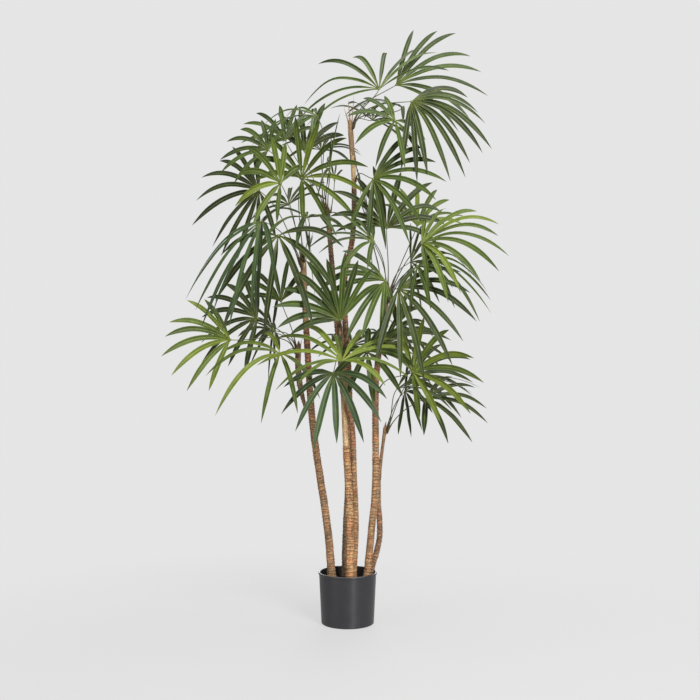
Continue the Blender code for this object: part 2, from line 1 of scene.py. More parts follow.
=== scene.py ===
# Artificial lady palm in a black nursery pot: the looks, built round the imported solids.
# Metres, +Z up, the front looks along +Y, and the origin is the pot's flat underside.
# Colours are linear red, green and blue.

import math
import random
from collections import namedtuple
from functools import cache
from itertools import product
from operator import attrgetter

import bmesh
import bpy
import numpy as np
from bpy.props import FloatProperty, FloatVectorProperty, IntProperty, PointerProperty
from mathutils import Matrix, Vector, noise
from mathutils.bvhtree import BVHTree


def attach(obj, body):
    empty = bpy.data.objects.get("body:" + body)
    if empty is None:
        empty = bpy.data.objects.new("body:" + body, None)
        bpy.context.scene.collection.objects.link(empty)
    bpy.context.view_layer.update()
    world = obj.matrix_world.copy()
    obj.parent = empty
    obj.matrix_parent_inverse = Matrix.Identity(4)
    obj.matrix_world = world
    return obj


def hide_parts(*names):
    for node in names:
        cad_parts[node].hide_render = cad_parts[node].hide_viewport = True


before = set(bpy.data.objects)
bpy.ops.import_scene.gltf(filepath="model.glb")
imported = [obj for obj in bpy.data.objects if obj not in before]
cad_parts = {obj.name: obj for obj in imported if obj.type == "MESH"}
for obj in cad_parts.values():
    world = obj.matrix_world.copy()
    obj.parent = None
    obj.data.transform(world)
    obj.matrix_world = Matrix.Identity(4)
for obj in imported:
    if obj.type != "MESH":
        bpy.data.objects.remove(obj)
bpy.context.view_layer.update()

bl_info = {
    "name": "Lady palm",
    "version": (1, 0, 0),
    "blender": (4, 5, 0),
    "location": "View3D > Sidebar > Lady palm",
    "description": "An artificial lady palm with ringed stems and fan fronds in a nursery pot",
    "category": "Object",
}

BODY = "root"
STRAP_MAP = "Strap"
BARK_LAYER = "Bark"
UP = Vector((0.0, 0.0, 1.0))

# Clearances
SEAT_GAP = 0.0003
FILL_GAP = 0.0006
LEAF_CLEARANCE = 0.0004
STALK_CLEARANCE = 0.0004

# Edges sharper than this, in degrees, stay crisp under smooth shading
POT_CRISP = 30
BARK_CRISP = 50
MERGE_DISTANCE = 1e-6

# Pot and fill
POT_HEIGHT = 0.154
POT_RIM_RADIUS = 0.088
POT_FOOT_RADIUS = 0.079
POT_WALL = 0.0026
POT_FLOOR = 0.004
POT_LIP = 0.0022
POT_LIP_HEIGHT = 0.007
POT_FOOT_CHAMFER = 0.003
FILL_TOP = 0.124

# Stems
STEM_SIDES = 9
STEM_RING_STEP = 0.055
STEM_FLARE = 0.14
STEM_FLARE_HEIGHT = 0.035
FOOT = FILL_TOP + SEAT_GAP

# Leaf stalks
STALK_SIDES = 3
STALK_RINGS = 6
STALK_FOOT_RADIUS = 0.0024
STALK_END_RADIUS = 0.0017
STALK_BELOW_TIP = 0.006
STALK_SPLAY = 0.30
STALK_REACH_UP = 0.42
STALK_REACH_BACK = 0.30
STALK_FOLLOWS_FAN = 0.6
STALK_FOOT_STEP = 0.007
STALK_FOOT_TURN = math.radians(24.0)
STALK_TURNS = (0, 1, -1, 2, -2)
STALK_STEPS = 8
KNOT_RADIUS = 0.0088
KNOT_FLATNESS = 0.42

# A leaflet's outline as shares of its width and length: how wide its root is, where it is
# full, where its taper starts and how late the taper falls; of the solids, then the straps
Blade = namedtuple("Blade", "root full_at taper_from power")
SOLID_BLADE = Blade(0.18, 0.45, 0.5, 2.0)
STRAP_BLADE = Blade(0.30, 0.26, 0.58, 2.5)

# Leaflets
LEAF_STATIONS = (0.0, 0.34, 0.7)
LEAF_ROOT = 0.005
LEAF_ARCH = 0.32
LEAF_THICKNESS = 0.0112
LEAF_KEEL_LEAST = 0.55
OUTER_SHORTENING = 0.38
FULL_FAN = 240.0
ANGLE_JITTER = math.radians(3.2)
LIFT_JITTER = math.radians(5.5)
LENGTH_JITTER = 0.08
DROOP_JITTER = 0.2
TURN_ASIDE = math.radians(3.0)
LIFT_ASIDE = math.radians(2.4)
LEAF_TRIES = 13
SEED = 41

# A ray from outside the bark finds the surface that a foot is seated on
SEAT_RAY = 0.1

# A stem runs from its foot through its bends to its tip; radii at foot, middle and tip.
Stem = namedtuple("Stem", "name route radii slot")

STEMS = (
    Stem(
        "stem_left",
        ((-0.046, -0.012, FOOT), (-0.062, -0.010, 0.300), (-0.104, -0.002, 0.590),
         (-0.124, 0.006, 0.870), (-0.135, 0.020, 1.105)),
        (0.0120, 0.0104, 0.0080), "bark_tan",
    ),
    Stem(
        "stem_front",
        ((0.007, -0.045, FOOT), (0.005, -0.041, 0.360), (-0.006, -0.028, 0.550),
         (-0.016, 0.002, 0.730), (-0.036, 0.022, 0.940), (-0.0615, 0.040, 1.246)),
        (0.0118, 0.0098, 0.0068), "bark_tan",
    ),
    Stem(
        "stem_tall",
        ((-0.006, 0.035, FOOT), (-0.007, 0.035, 0.230), (0.006, 0.036, 0.520),
         (0.003, 0.040, 0.740), (-0.011, 0.045, 1.010), (0.0155, 0.050, 1.170),
         (0.019, 0.050, 1.330), (0.007, 0.050, 1.514)),
        (0.0100, 0.0092, 0.0072), "bark_red",
    ),
    Stem(
        "stem_centre",
        ((0.016, -0.006, FOOT), (0.024, -0.008, 0.290), (0.019, -0.012, 0.440),
         (0.0135, -0.024, 0.585), (-0.006, -0.045, 0.716), (-0.024, -0.060, 0.894)),
        (0.0096, 0.0088, 0.0076), "bark_red",
    ),
    Stem(
        "stem_right",
        ((0.056, -0.020, FOOT), (0.070, -0.020, 0.270), (0.083, -0.020, 0.420),
         (0.084, -0.020, 0.700), (0.097, -0.020, 0.840), (0.1195, -0.020, 1.000)),
        (0.0108, 0.0100, 0.0080), "bark_tan",
    ),
    Stem(
        "stem_right_short",
        ((0.064, 0.012, FOOT), (0.0705, 0.013, 0.154), (0.0960, 0.014, 0.255),
         (0.093, 0.014, 0.370), (0.096, 0.012, 0.450), (0.113, 0.010, 0.585)),
        (0.0076, 0.0074, 0.0044), "bark_red",
    ),
)

# The side shoot starts against the left stem and climbs beside it.
SHOOT_MOTHER = "stem_left"
SHOOT_HEIGHT = 0.640
SHOOT_BEARING = math.radians(180.0)
SIDE_SHOOT = Stem(
    "stem_left_side",
    ((-0.1310, 0.000, 0.6610), (-0.1434, 0.000, 0.715), (-0.1500, 0.000, 0.780),
     (-0.1480, 0.000, 0.829)),
    (0.0042, 0.0095, 0.0078), "bark_dark",
)

# Each stem's fan fronds: how far below the tip its stalk starts, the place of its knot,
# then how the fan is held. The clock is the middle leaflet's direction as the front view
# shows it, counted from the right upwards; the lean tips it away from the viewer; the turn
# rolls the fan about that middle leaflet, and at zero the fan faces the viewer. Angles are
# in degrees, lengths in metres, and the droop is how far a tip sags as a share of its
# leaflet's length.
Frond = namedtuple(
    "Frond", "name stem drop knot clock lean turn spread leaflets reach blade droop shade"
)
# Fans of the blue shade take a leaf colour that stands in for a painted sheen
FANS = {
    "tall": (
        (0.005, (0.095, 0.02, 1.61), 112, 46, 0, 176, 9, 0.315, 0.014, 0.08, "mid"),
        (0.0, (0.15, 0.09, 1.64), 22, 10, -15, 108, 8, 0.282, 0.014, 0.09, "mid"),
        (0.01, (0.19, -0.03, 1.56), -36, -20, -20, 124, 11, 0.236, 0.016, 0.28, "dark"),
        (0.015, (0.14, -0.07, 1.495), 225, -35, 0, 240, 8, 0.155, 0.015, 0.1, "mid"),
        (0.01, (0.17, 0.13, 1.58), 170, 0, 75, 190, 8, 0.175, 0.012, 0.28, "dark"),
        (0.175, (0.075, -0.06, 1.325), -28, -24, -5, 165, 10, 0.22, 0.015, 0.08, "mid"),
        (0.02, (0.08, 0.22, 1.56), 60, 62, 0, 200, 8, 0.2, 0.015, 0.12, "dark"),
        (0.06, (0.03, 0.2, 1.395), 90, 60, 80, 190, 7, 0.205, 0.016, 0.12, "mid"),
    ),
    "front": (
        (0.005, (-0.04, 0.03, 1.335), 95, 0, 60, 100, 5, 0.075, 0.007, 0.05, "dark"),
        (0.01, (-0.135, 0.15, 1.445), 85, 15, 0, 110, 6, 0.18, 0.018, 0.04, "dark"),
        (0.0, (-0.095, 0.0, 1.525), 186, 0, 65, 170, 7, 0.19, 0.013, 0.18, "mid"),
        (0.015, (-0.195, 0.12, 1.475), 115, 25, 0, 170, 8, 0.165, 0.014, 0.06, "mid"),
        (0.02, (-0.24, 0.02, 1.425), 156, 22, 20, 190, 9, 0.158, 0.014, 0.08, "mid"),
        (0.025, (-0.085, 0.2, 1.46), 80, 55, 0, 220, 8, 0.17, 0.014, 0.12, "dark"),
        (0.03, (-0.05, -0.15, 1.34), 90, -60, 80, 190, 7, 0.19, 0.015, 0.12, "mid"),
    ),
    "left": (
        (0.0, (-0.135, -0.07, 1.325), 40, -18, 22, 265, 11, 0.212, 0.015, 0.1, "light"),
        (0.01, (-0.195, -0.1, 1.305), 150, -30, 10, 220, 8, 0.165, 0.016, 0.1, "light"),
        (0.02, (-0.27, 0.04, 1.305), 198, 22, 12, 195, 11, 0.222, 0.015, 0.08, "dark"),
        (0.015, (-0.12, -0.03, 1.215), 178, 0, 72, 320, 9, 0.21, 0.015, 0.2, "mid"),
        (0.03, (-0.25, -0.1, 1.195), 240, -24, 48, 96, 9, 0.278, 0.015, 0.24, "blue"),
        (0.035, (-0.2, -0.13, 1.15), 262, -20, 20, 165, 7, 0.27, 0.018, 0.14, "dark"),
        (0.03, (-0.19, 0.2, 1.285), 120, 55, 0, 200, 8, 0.19, 0.015, 0.12, "dark"),
        (0.05, (-0.12, 0.16, 1.13), 90, 60, 80, 190, 7, 0.195, 0.016, 0.12, "mid"),
    ),
    "left_side": (
        (0.0, (-0.205, 0.07, 0.97), 105, 15, 0, 140, 7, 0.16, 0.014, 0.04, "mid"),
        (0.01, (-0.27, -0.02, 0.915), 175, 16, 12, 165, 9, 0.2, 0.015, 0.07, "dark"),
        (0.015, (-0.345, -0.07, 0.85), 180, -22, 12, 120, 8, 0.205, 0.015, 0.05, "light"),
        (0.01, (-0.225, 0.1, 0.875), 170, -20, 65, 180, 6, 0.13, 0.014, 0.1, "dark"),
        (0.025, (-0.195, -0.12, 0.81), 210, -30, 30, 210, 7, 0.21, 0.013, 0.25, "light"),
        (0.02, (-0.24, 0.19, 0.885), 180, 52, 0, 200, 8, 0.175, 0.014, 0.12, "dark"),
    ),
    "centre": (
        (0.0, (-0.02, -0.16, 0.905), 118, -18, 0, 150, 11, 0.21, 0.017, 0.03, "mid"),
        (0.04, (-0.015, -0.22, 0.79), 92, 58, 0, 260, 11, 0.275, 0.017, 0.1, "light"),
        (0.08, (-0.04, -0.17, 0.755), 265, -24, 10, 150, 8, 0.2, 0.017, 0.1, "blue"),
        (0.06, (0.055, -0.13, 0.815), -45, -25, 0, 280, 9, 0.155, 0.018, 0.1, "mid"),
        (0.02, (0.015, 0.13, 0.835), 90, 65, 0, 220, 8, 0.18, 0.015, 0.12, "dark"),
    ),
    "right": (
        (0.0, (0.115, -0.06, 1.18), 85, 20, 0, 190, 10, 0.22, 0.017, 0.06, "dark"),
        (0.01, (0.075, -0.12, 1.135), 166, 0, 50, 180, 8, 0.19, 0.013, 0.1, "mid"),
        (0.012, (0.215, -0.1, 1.13), 14, -20, -45, 165, 12, 0.256, 0.015, 0.22, "light"),
        (0.02, (0.23, 0.0, 1.095), -12, 16, -55, 145, 8, 0.238, 0.015, 0.22, "mid"),
        (0.03, (0.2, -0.14, 1.06), -50, -45, 0, 160, 6, 0.135, 0.014, 0.1, "mid"),
        (0.035, (0.145, -0.15, 0.995), -38, -24, -10, 128, 8, 0.245, 0.016, 0.16, "dark"),
        (0.03, (0.11, -0.12, 1.02), 208, -26, 10, 140, 8, 0.205, 0.016, 0.1, "mid"),
        (0.005, (0.215, 0.09, 1.205), 75, 34, 0, 130, 8, 0.185, 0.014, 0.05, "light"),
        (0.2, (0.11, 0.07, 0.835), 15, 24, -35, 120, 8, 0.225, 0.016, 0.08, "dark"),
        (0.3, (0.19, -0.1, 0.755), 25, -22, 0, 215, 9, 0.202, 0.016, 0.08, "light"),
        (0.02, (0.2, 0.18, 1.1), 0, 50, 0, 180, 8, 0.19, 0.014, 0.12, "dark"),
        (0.12, (0.16, 0.2, 0.9), 20, 50, 0, 200, 8, 0.19, 0.014, 0.12, "dark"),
        (0.004, (0.07, 0.15, 1.19), 90, 60, 80, 190, 7, 0.195, 0.016, 0.12, "mid"),
    ),
    "right_short": (
        (0.005, (0.195, 0.06, 0.735), 14, 24, -30, 110, 6, 0.215, 0.014, 0.1, "dark"),
        (0.0, (0.15, 0.0, 0.705), 2, 0, -78, 140, 7, 0.27, 0.013, 0.02, "dark"),
        (0.01, (0.235, -0.02, 0.675), -16, -16, -45, 150, 7, 0.188, 0.016, 0.08, "dark"),
        (0.015, (0.18, 0.15, 0.69), -10, 50, 0, 180, 8, 0.17, 0.014, 0.12, "dark"),
    ),
}
FRONDS = [
    Frond(f"frond_{stem}_{number}", "stem_" + stem, *fan)
    for stem, held in FANS.items() for number, fan in enumerate(held, 1)
]


def skin(bm, rings, tip=None):
    """Closed skin over rings of points, ended by a flat cap or by one tip point."""
    loops = [[bm.verts.new(point) for point in ring] for ring in rings]
    bm.faces.new(loops[0][::-1])
    for low, high in zip(loops, loops[1:]):
        for i in range(len(low)):
            bm.faces.new((low[i - 1], low[i], high[i], high[i - 1]))
    last = loops[-1]
    if tip is None:
        bm.faces.new(last)
        return
    point = bm.verts.new(tip)
    for i in range(len(last)):
        bm.faces.new((last[i - 1], last[i], point))


def tube_rings(route, radii, sides, start, flat_foot=False):
    """Rings of points round a route; the first corner of the first ring looks to start."""
    rings = []
    side = start
    angles = [math.tau * corner / sides for corner in range(sides)]
    for index, (centre, radius) in enumerate(zip(route, radii)):
        along = (route[min(index + 1, len(route) - 1)] - route[max(index - 1, 0)]).normalized()
        if flat_foot and index == 0:
            along = UP
        side = (side - along * side.dot(along)).normalized()
        across = along.cross(side)
        rings.append([
            centre + radius * (side * math.cos(angle) + across * math.sin(angle))
            for angle in angles
        ])
    return rings


def curve_through(points, step):
    """Even steps along one smooth curve through the points (Catmull-Rom)."""
    knots = [Vector(point) for point in points]
    ends = [2 * knots[0] - knots[1]] + knots + [2 * knots[-1] - knots[-2]]
    route = [knots[0]]
    for a, b, c, d in zip(ends, ends[1:], ends[2:], ends[3:]):
        pieces = max(1, round((c - b).length / step))
        for piece in range(1, pieces + 1):
            t = piece / pieces
            route.append(0.5 * (
                2 * b + (c - a) * t + (2 * a - 5 * b + 4 * c - d) * t ** 2
                + (3 * b - a - 3 * c + d) * t ** 3
            ))
    return route


def bezier(controls, t):
    """The point at t on the curve that four control points draw."""
    start, first, second, end = controls
    return (
        start * (1 - t) ** 3 + first * 3 * t * (1 - t) ** 2
        + second * 3 * t ** 2 * (1 - t) + end * t ** 3
    )


def outward(bearing, along):
    """The direction at a bearing, square to the stem."""
    out = Vector((math.cos(bearing), math.sin(bearing), 0.0))
    return (out - along * out.dot(along)).normalized()


class Form:
    """A rough solid's box and search tree, for the clearance tests."""

    def __init__(self, build, *values):
        bm = bmesh.new()
        build(bm, *values)
        spans = list(zip(*(vert.co for vert in bm.verts)))
        self.low = [min(span) for span in spans]
        self.high = [max(span) for span in spans]
        self.tree = BVHTree.FromBMesh(bm)
        bm.free()

    def touches(self, other):
        """Whether this solid's surface meets the other's."""
        for low, high, other_low, other_high in zip(self.low, self.high, other.low, other.high):
            if low > other_high or high < other_low:
                return False
        return bool(self.tree.overlap(other.tree))


def is_free(taken, owner, form):
    """Whether a new solid touches none of those placed so far, but for its owner's."""
    return not any(other != owner and form.touches(solid) for other, solid in taken)


class Trunk:
    """A stem's centre line and radii, with its solid's surface for seating stalks."""

    def __init__(self, stem, flared=True):
        self.stem = stem
        self.flared = flared
        self.route = curve_through(stem.route, STEM_RING_STEP)
        foot, middle, tip = stem.radii
        self.radii = []
        for index, centre in enumerate(self.route):
            t = 2 * index / (len(self.route) - 1)
            radius = foot + (middle - foot) * t if t < 1 else middle + (tip - middle) * (t - 1)
            if flared:
                rise = centre.z - self.route[0].z
                radius *= 1 + STEM_FLARE * max(0.0, 1 - rise / STEM_FLARE_HEIGHT)
            self.radii.append(radius)
        rings = tube_rings(self.route, self.radii, STEM_SIDES, Vector((1.0, 0.0, 0.0)), flared)
        self.form = Form(skin, rings)

    def axis_at(self, height):
        """The centre line's point and direction at a height."""
        for low, high in zip(self.route, self.route[1:]):
            if low.z <= height <= high.z:
                t = (height - low.z) / (high.z - low.z)
                return low.lerp(high, t), (high - low).normalized()
        return self.route[-1].copy(), (self.route[-1] - self.route[-2]).normalized()

    def seat(self, height, bearing, radius):
        """Centre of a round foot that lies against the bark at a height and bearing."""
        centre, along = self.axis_at(height)
        out = outward(bearing, along)
        hit = self.form.tree.ray_cast(centre + out * SEAT_RAY, -out, SEAT_RAY)[0]
        return hit + out * (SEAT_GAP + radius), along, out


def fan_axes(frond):
    """The fan's middle direction, its sideways direction and the way its face looks."""
    clock, lean, turn = map(math.radians, (frond.clock, frond.lean, frond.turn))
    middle = Vector((
        math.cos(clock) * math.cos(lean), math.sin(lean), math.sin(clock) * math.cos(lean)
    ))
    flat_side = Vector((-math.sin(clock), 0.0, math.cos(clock)))
    side = flat_side * math.cos(turn) + middle.cross(flat_side) * math.sin(turn)
    return middle, side, middle.cross(side)


def width_share(t, blade):
    """A leaflet's width at t along it, as a share of its full width."""
    rise = np.minimum(t / blade.full_at, 1.0)
    rise = blade.root + (1 - blade.root) * rise * rise * (3 - 2 * rise)
    fall = np.maximum(0.0, (t - blade.taper_from) / (1 - blade.taper_from))
    return rise * (1 - fall ** blade.power)


class Leaflet:
    """One drooping strap of a fan, keeled below like a shallow V."""

    def __init__(self, frond, index, draw):
        share = index / (frond.leaflets - 1) - 0.5
        self.angle = math.radians(frond.spread) * share + draw.uniform(-1, 1) * ANGLE_JITTER
        self.lift = draw.uniform(-1, 1) * LIFT_JITTER
        short = 1 - OUTER_SHORTENING * (2 * share) ** 2 * min(1.0, frond.spread / FULL_FAN)
        self.length = frond.reach * short * (1 + draw.uniform(-1, 1) * LENGTH_JITTER)
        self.droop = frond.droop * (1 + draw.uniform(-1, 1) * DROOP_JITTER)
        self.width = frond.blade * (1 + draw.uniform(-1, 1) * LENGTH_JITTER)
        self.knot = Vector(frond.knot)
        self.axes = fan_axes(frond)

    def aim(self, aside, raised):
        """Turns the leaflet aside in the plane of its fan, and lifts it out of it."""
        middle, side, face = self.axes
        angle = self.angle + aside
        lift = self.lift + raised
        flat = middle * math.cos(angle) + side * math.sin(angle)
        self.heading = flat * math.cos(lift) + face * math.sin(lift)

    def frame_at(self, t):
        """Point, sideways direction and upward direction of the strap at t."""
        run = LEAF_ROOT + (self.length - LEAF_ROOT) * t
        arch = LEAF_ARCH * math.sqrt(max(0.0, 1 - self.heading.z ** 2))
        rise = self.length * (arch * t * (1 - t) - self.droop * t ** 2)
        slope = arch * (1 - 2 * t) - 2 * self.droop * t
        point = self.knot + self.heading * run + UP * rise
        along = (self.heading + UP * slope).normalized()
        side = self.axes[2].cross(along).normalized()
        return point, side, along.cross(side)

    def build(self, bm, spare):
        """Adds the strap; spare wraps it all round for a clearance test."""
        rings = []
        for t in LEAF_STATIONS:
            point, side, face = self.frame_at(t)
            share = float(width_share(t, SOLID_BLADE))
            half = 0.5 * self.width * share + spare
            keel = LEAF_KEEL_LEAST + (1 - LEAF_KEEL_LEAST) * share
            keel = LEAF_THICKNESS * self.length * keel + spare
            corners = [(half, spare), (-half, spare), (0.0, -keel)]
            if spare:
                corners[2:] = [(-half, -spare), (0.0, -keel), (half, -spare)]
            rings.append([point + side * across + face * up for across, up in corners])
        skin(bm, rings, self.frame_at(1.0)[0] + self.heading * spare)


class Stalk:
    """A frond's leaf stalk, from its foot against the bark to the fan's knot."""

    def __init__(self, frond, trunk):
        self.trunk = trunk
        self.knot = Vector(frond.knot)
        self.axes = fan_axes(frond)
        tip = trunk.route[-1]
        away = self.knot - tip
        self.bearing = math.atan2(away.y, away.x)
        self.top = tip.z - STALK_BELOW_TIP - frond.drop

    def lead(self, step, turn):
        """Leads the stalk up along the bark from a foot on it, and out to the knot."""
        height = self.top - step * STALK_FOOT_STEP
        bearing = self.bearing + turn * STALK_FOOT_TURN
        foot, along, out = self.trunk.seat(height, bearing, STALK_FOOT_RADIUS)
        span = (self.knot - foot).length
        aim = ((self.knot - foot) / span + self.axes[0] * STALK_FOLLOWS_FAN).normalized()
        first = foot + (along + out * STALK_SPLAY).normalized() * span * STALK_REACH_UP
        second = self.knot - aim * span * STALK_REACH_BACK
        self.controls = (foot, first, second, self.knot)
        self.start = -out

    def build(self, bm, spare, with_knot=True):
        """Adds the stalk and the flat little palm at its end, in the plane of the fan."""
        points = []
        radii = []
        for index in range(STALK_RINGS):
            t = index / (STALK_RINGS - 1)
            points.append(bezier(self.controls, t))
            radii.append(STALK_FOOT_RADIUS + (STALK_END_RADIUS - STALK_FOOT_RADIUS) * t + spare)
        skin(bm, tube_rings(points, radii, STALK_SIDES, self.start))
        if with_knot:
            middle, side, face = self.axes
            plane = Matrix((middle, side, face * KNOT_FLATNESS)).transposed()
            made = bmesh.ops.create_icosphere(bm, subdivisions=1, radius=KNOT_RADIUS + spare)
            bmesh.ops.transform(bm, matrix=plane.to_4x4(), verts=made["verts"])
            bmesh.ops.translate(bm, verts=made["verts"], vec=self.knot)


def place_stalk(frond, trunk, taken):
    """Walks the stalk's foot round and down the stem until the stalk is clear."""
    stalk = Stalk(frond, trunk)
    for step, turn in product(range(STALK_STEPS), STALK_TURNS):
        stalk.lead(step, turn)
        if Form(stalk.build, 0.0, False).tree.overlap(trunk.form.tree):
            continue
        if is_free(taken, trunk.stem.name, Form(stalk.build, STALK_CLEARANCE)):
            taken.append((frond.name, Form(stalk.build, 0.0)))
            return stalk
    raise RuntimeError("no clear way for the stalk of " + frond.name)


def place_leaflets(frond, taken):
    """Leaflets of one fan; one that would touch is turned aside, or else left out."""
    draw = random.Random(frond.name + str(SEED))
    placed = []
    for index in range(frond.leaflets):
        leaflet = Leaflet(frond, index, draw)
        for attempt in range(LEAF_TRIES):
            sway = (attempt + 1) // 2 * (1 if attempt % 2 else -1)
            tilt = sway if attempt % 4 < 2 else -sway
            leaflet.aim(TURN_ASIDE * sway, LIFT_ASIDE * tilt)
            if is_free(taken, frond.name, Form(leaflet.build, LEAF_CLEARANCE)):
                taken.append((frond.name, Form(leaflet.build, 0.0)))
                placed.append(leaflet)
                break
    return placed


class Palm:
    """The whole plant as the growing rule places it."""

    def __init__(self):
        self.trunks = {stem.name: Trunk(stem) for stem in STEMS}
        mother = self.trunks[SHOOT_MOTHER]
        foot = mother.seat(SHOOT_HEIGHT, SHOOT_BEARING, SIDE_SHOOT.radii[0])[0]
        shoot = SIDE_SHOOT._replace(route=(tuple(foot), *SIDE_SHOOT.route))
        self.trunks[shoot.name] = Trunk(shoot, flared=False)
        taken = [(name, trunk.form) for name, trunk in self.trunks.items()]
        self.stalks = {
            frond.name: place_stalk(frond, self.trunks[frond.stem], taken) for frond in FRONDS
        }
        self.leaflets = {frond.name: place_leaflets(frond, taken) for frond in FRONDS}


@cache
def palm():
    """The placed plant, grown once."""
    return Palm()


def fronds_by(*features):
    """The fronds in groups that share these features."""
    groups = {}
    for frond in FRONDS:
        groups.setdefault(attrgetter(*features)(frond), []).append(frond)
    return groups.items()


# Sizes and colours that a user would change

class PalmSizes(bpy.types.PropertyGroup):
    """Sizes of the finer shapes"""

    leaflet_rows: IntProperty(
        name="Leaflet rows", description="Steps along each leaflet",
        default=18, min=6, max=40,
    )
    leaflet_columns: IntProperty(
        name="Leaflet columns", description="Strips across each leaflet",
        default=6, min=2, max=12,
    )
    fold_at_root: FloatProperty(
        name="Fold at root", description="How steeply a leaflet is folded where it starts",
        default=math.radians(48), subtype="ANGLE",
    )
    fold_at_tip: FloatProperty(
        name="Fold at tip", description="How steeply a leaflet is folded near its tip",
        default=math.radians(15), subtype="ANGLE",
    )
    pleat_depth: FloatProperty(
        name="Pleat depth", description="Half the height of the pleats along a leaflet",
        default=0.00045, unit="LENGTH",
    )
    leaflet_sway: FloatProperty(
        name="Leaflet sway", description="Sideways bend as a share of a leaflet's length",
        default=0.03,
    )
    leaflet_twist: FloatProperty(
        name="Leaflet twist", description="Most roll of a leaflet between root and tip",
        default=math.radians(26), subtype="ANGLE",
    )
    stalk_radius: FloatProperty(
        name="Stalk radius", description="Radius of a leaf stalk along its middle",
        default=0.0014, unit="LENGTH",
    )
    hub_radius: FloatProperty(
        name="Hub radius", description="Radius of the button where the leaflets meet",
        default=0.0042, unit="LENGTH",
    )
    bark_sides: IntProperty(
        name="Bark sides", description="Facets round a stem", default=26, min=9, max=48,
    )
    ring_spacing: FloatProperty(
        name="Ring spacing", description="Height between two leaf scars on the bark",
        default=0.0086, unit="LENGTH",
    )
    ring_depth: FloatProperty(
        name="Ring depth", description="Depth of the groove at a leaf scar",
        default=0.0013, unit="LENGTH",
    )
    sheath_width: FloatProperty(
        name="Sheath width", description="Width of a leaf sheath where it clasps the stem",
        default=0.011, unit="LENGTH",
    )


class PalmColours(bpy.types.PropertyGroup):
    """Colours of the plant and its pot"""

    dark_leaf: FloatVectorProperty(
        name="Dark leaf", description="Leaflets of the darkest fans",
        default=(0.019, 0.038, 0.007), subtype="COLOR", min=0, max=1,
    )
    mid_leaf: FloatVectorProperty(
        name="Middle leaf", description="Leaflets of the middle fans",
        default=(0.037, 0.072, 0.0095), subtype="COLOR", min=0, max=1,
    )
    light_leaf: FloatVectorProperty(
        name="Light leaf", description="Leaflets of the youngest fans",
        default=(0.118, 0.168, 0.018), subtype="COLOR", min=0, max=1,
    )
    # Painted sheen: the blue leaf is a greyer, bluer green that stands in for the grey-blue sheen
    # on the fans that use it
    blue_leaf: FloatVectorProperty(
        name="Blue leaf", description="Leaflets with a grey-blue bloom",
        default=(0.032, 0.072, 0.032), subtype="COLOR", min=0, max=1,
    )
    vein: FloatVectorProperty(
        name="Vein", description="Pale lines along the leaflets",
        default=(0.420, 0.470, 0.110), subtype="COLOR", min=0, max=1,
    )
    pot: FloatVectorProperty(
        name="Pot", description="Moulded plastic of the pot",
        default=(0.037, 0.0365, 0.041), subtype="COLOR", min=0, max=1,
    )
    cement: FloatVectorProperty(
        name="Cement", description="Painted cement in the pot",
        default=(0.016, 0.015, 0.014), subtype="COLOR", min=0, max=1,
    )


class StageSettings(bpy.types.PropertyGroup):
    """Camera, floor and light"""

    lens: FloatProperty(
        name="Lens", description="Focal length of the camera", default=53.7, unit="CAMERA",
    )
    camera_distance: FloatProperty(
        name="Camera distance", description="From the camera to the pot's axis",
        default=3.14, unit="LENGTH",
    )
    camera_height: FloatProperty(
        name="Camera height", description="Height of the camera over the floor",
        default=0.82, unit="LENGTH",
    )
    floor_radius: FloatProperty(
        name="Floor radius", description="Radius of the round studio floor",
        default=2.1, unit="LENGTH",
    )
    backdrop: FloatProperty(
        name="Backdrop", description="Brightness of the plain backdrop", default=0.785,
    )
    ambient: FloatProperty(
        name="Ambient", description="Brightness of the light from all round", default=0.27,
    )


# Building meshes

class Heap:
    """Gathers many small like shapes into one mesh, its four-sided faces first."""

    def __init__(self):
        self.points = []
        self.marks = []
        self.nets = []
        self.count = 0

    def add(self, points, marks, *nets, tint=0):
        """Adds one shape: its points, a pair of marks for each, its faces and its tint."""
        self.nets += [(np.asarray(faces, int) + self.count, tint) for faces in nets]
        self.points.append(np.asarray(points, float).reshape(-1, 3))
        self.marks.append(np.asarray(marks, float).reshape(-1, 2))
        self.count += len(self.points[-1])

    def mesh(self, name):
        """All the shapes as one mesh, its UV map from their marks, its materials by tint."""
        self.nets.sort(key=lambda dealt: -dealt[0].shape[1])
        faces = [face for faces, _ in self.nets for face in faces.tolist()]
        corners = np.concatenate([faces.ravel() for faces, _ in self.nets])
        marks = np.concatenate(self.marks)[corners].astype(np.float32)
        tints = np.concatenate([np.full(len(faces), tint) for faces, tint in self.nets])
        mesh = bpy.data.meshes.new(name)
        mesh.from_pydata(np.concatenate(self.points).tolist(), [], faces)
        mesh.uv_layers.new(name=STRAP_MAP).data.foreach_set("uv", marks.ravel())
        mesh.polygons.foreach_set("material_index", tints.astype(np.int32))
        mesh.shade_smooth()
        mesh.update()
        return mesh


def net(rows, columns, closed=False):
    """Quads of a net of points; a closed one joins its last column to its first."""
    grid = np.arange(rows * columns).reshape(rows, columns)
    if closed:
        grid = np.hstack((grid, grid[:, :1]))
    corners = (grid[:-1, :-1], grid[:-1, 1:], grid[1:, 1:], grid[1:, :-1])
    return np.stack(corners, axis=-1).reshape(-1, 4)


def unit(vectors):
    """The vectors, each scaled to a length of one."""
    return vectors / np.linalg.norm(vectors, axis=-1, keepdims=True)


def finished_mesh(bm, name, crisp):
    """A smooth mesh whose edges sharper than so many degrees stay crisp."""
    mesh = bpy.data.meshes.new(name)
    bm.to_mesh(mesh)
    bm.free()
    mesh.shade_smooth()
    mesh.set_sharp_from_angle(angle=math.radians(crisp))
    return mesh


def put(name, data):
    """A new object in the scene."""
    made = bpy.data.objects.new(name, data)
    bpy.context.scene.collection.objects.link(made)
    return made


def show_piece(name, mesh, materials, replaced):
    """Puts a finished mesh in the scene as a piece that rides on the plant."""
    piece = put(name, mesh)
    for material in materials:
        mesh.materials.append(material)
    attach(piece, BODY)
    if replaced:
        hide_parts(*replaced)


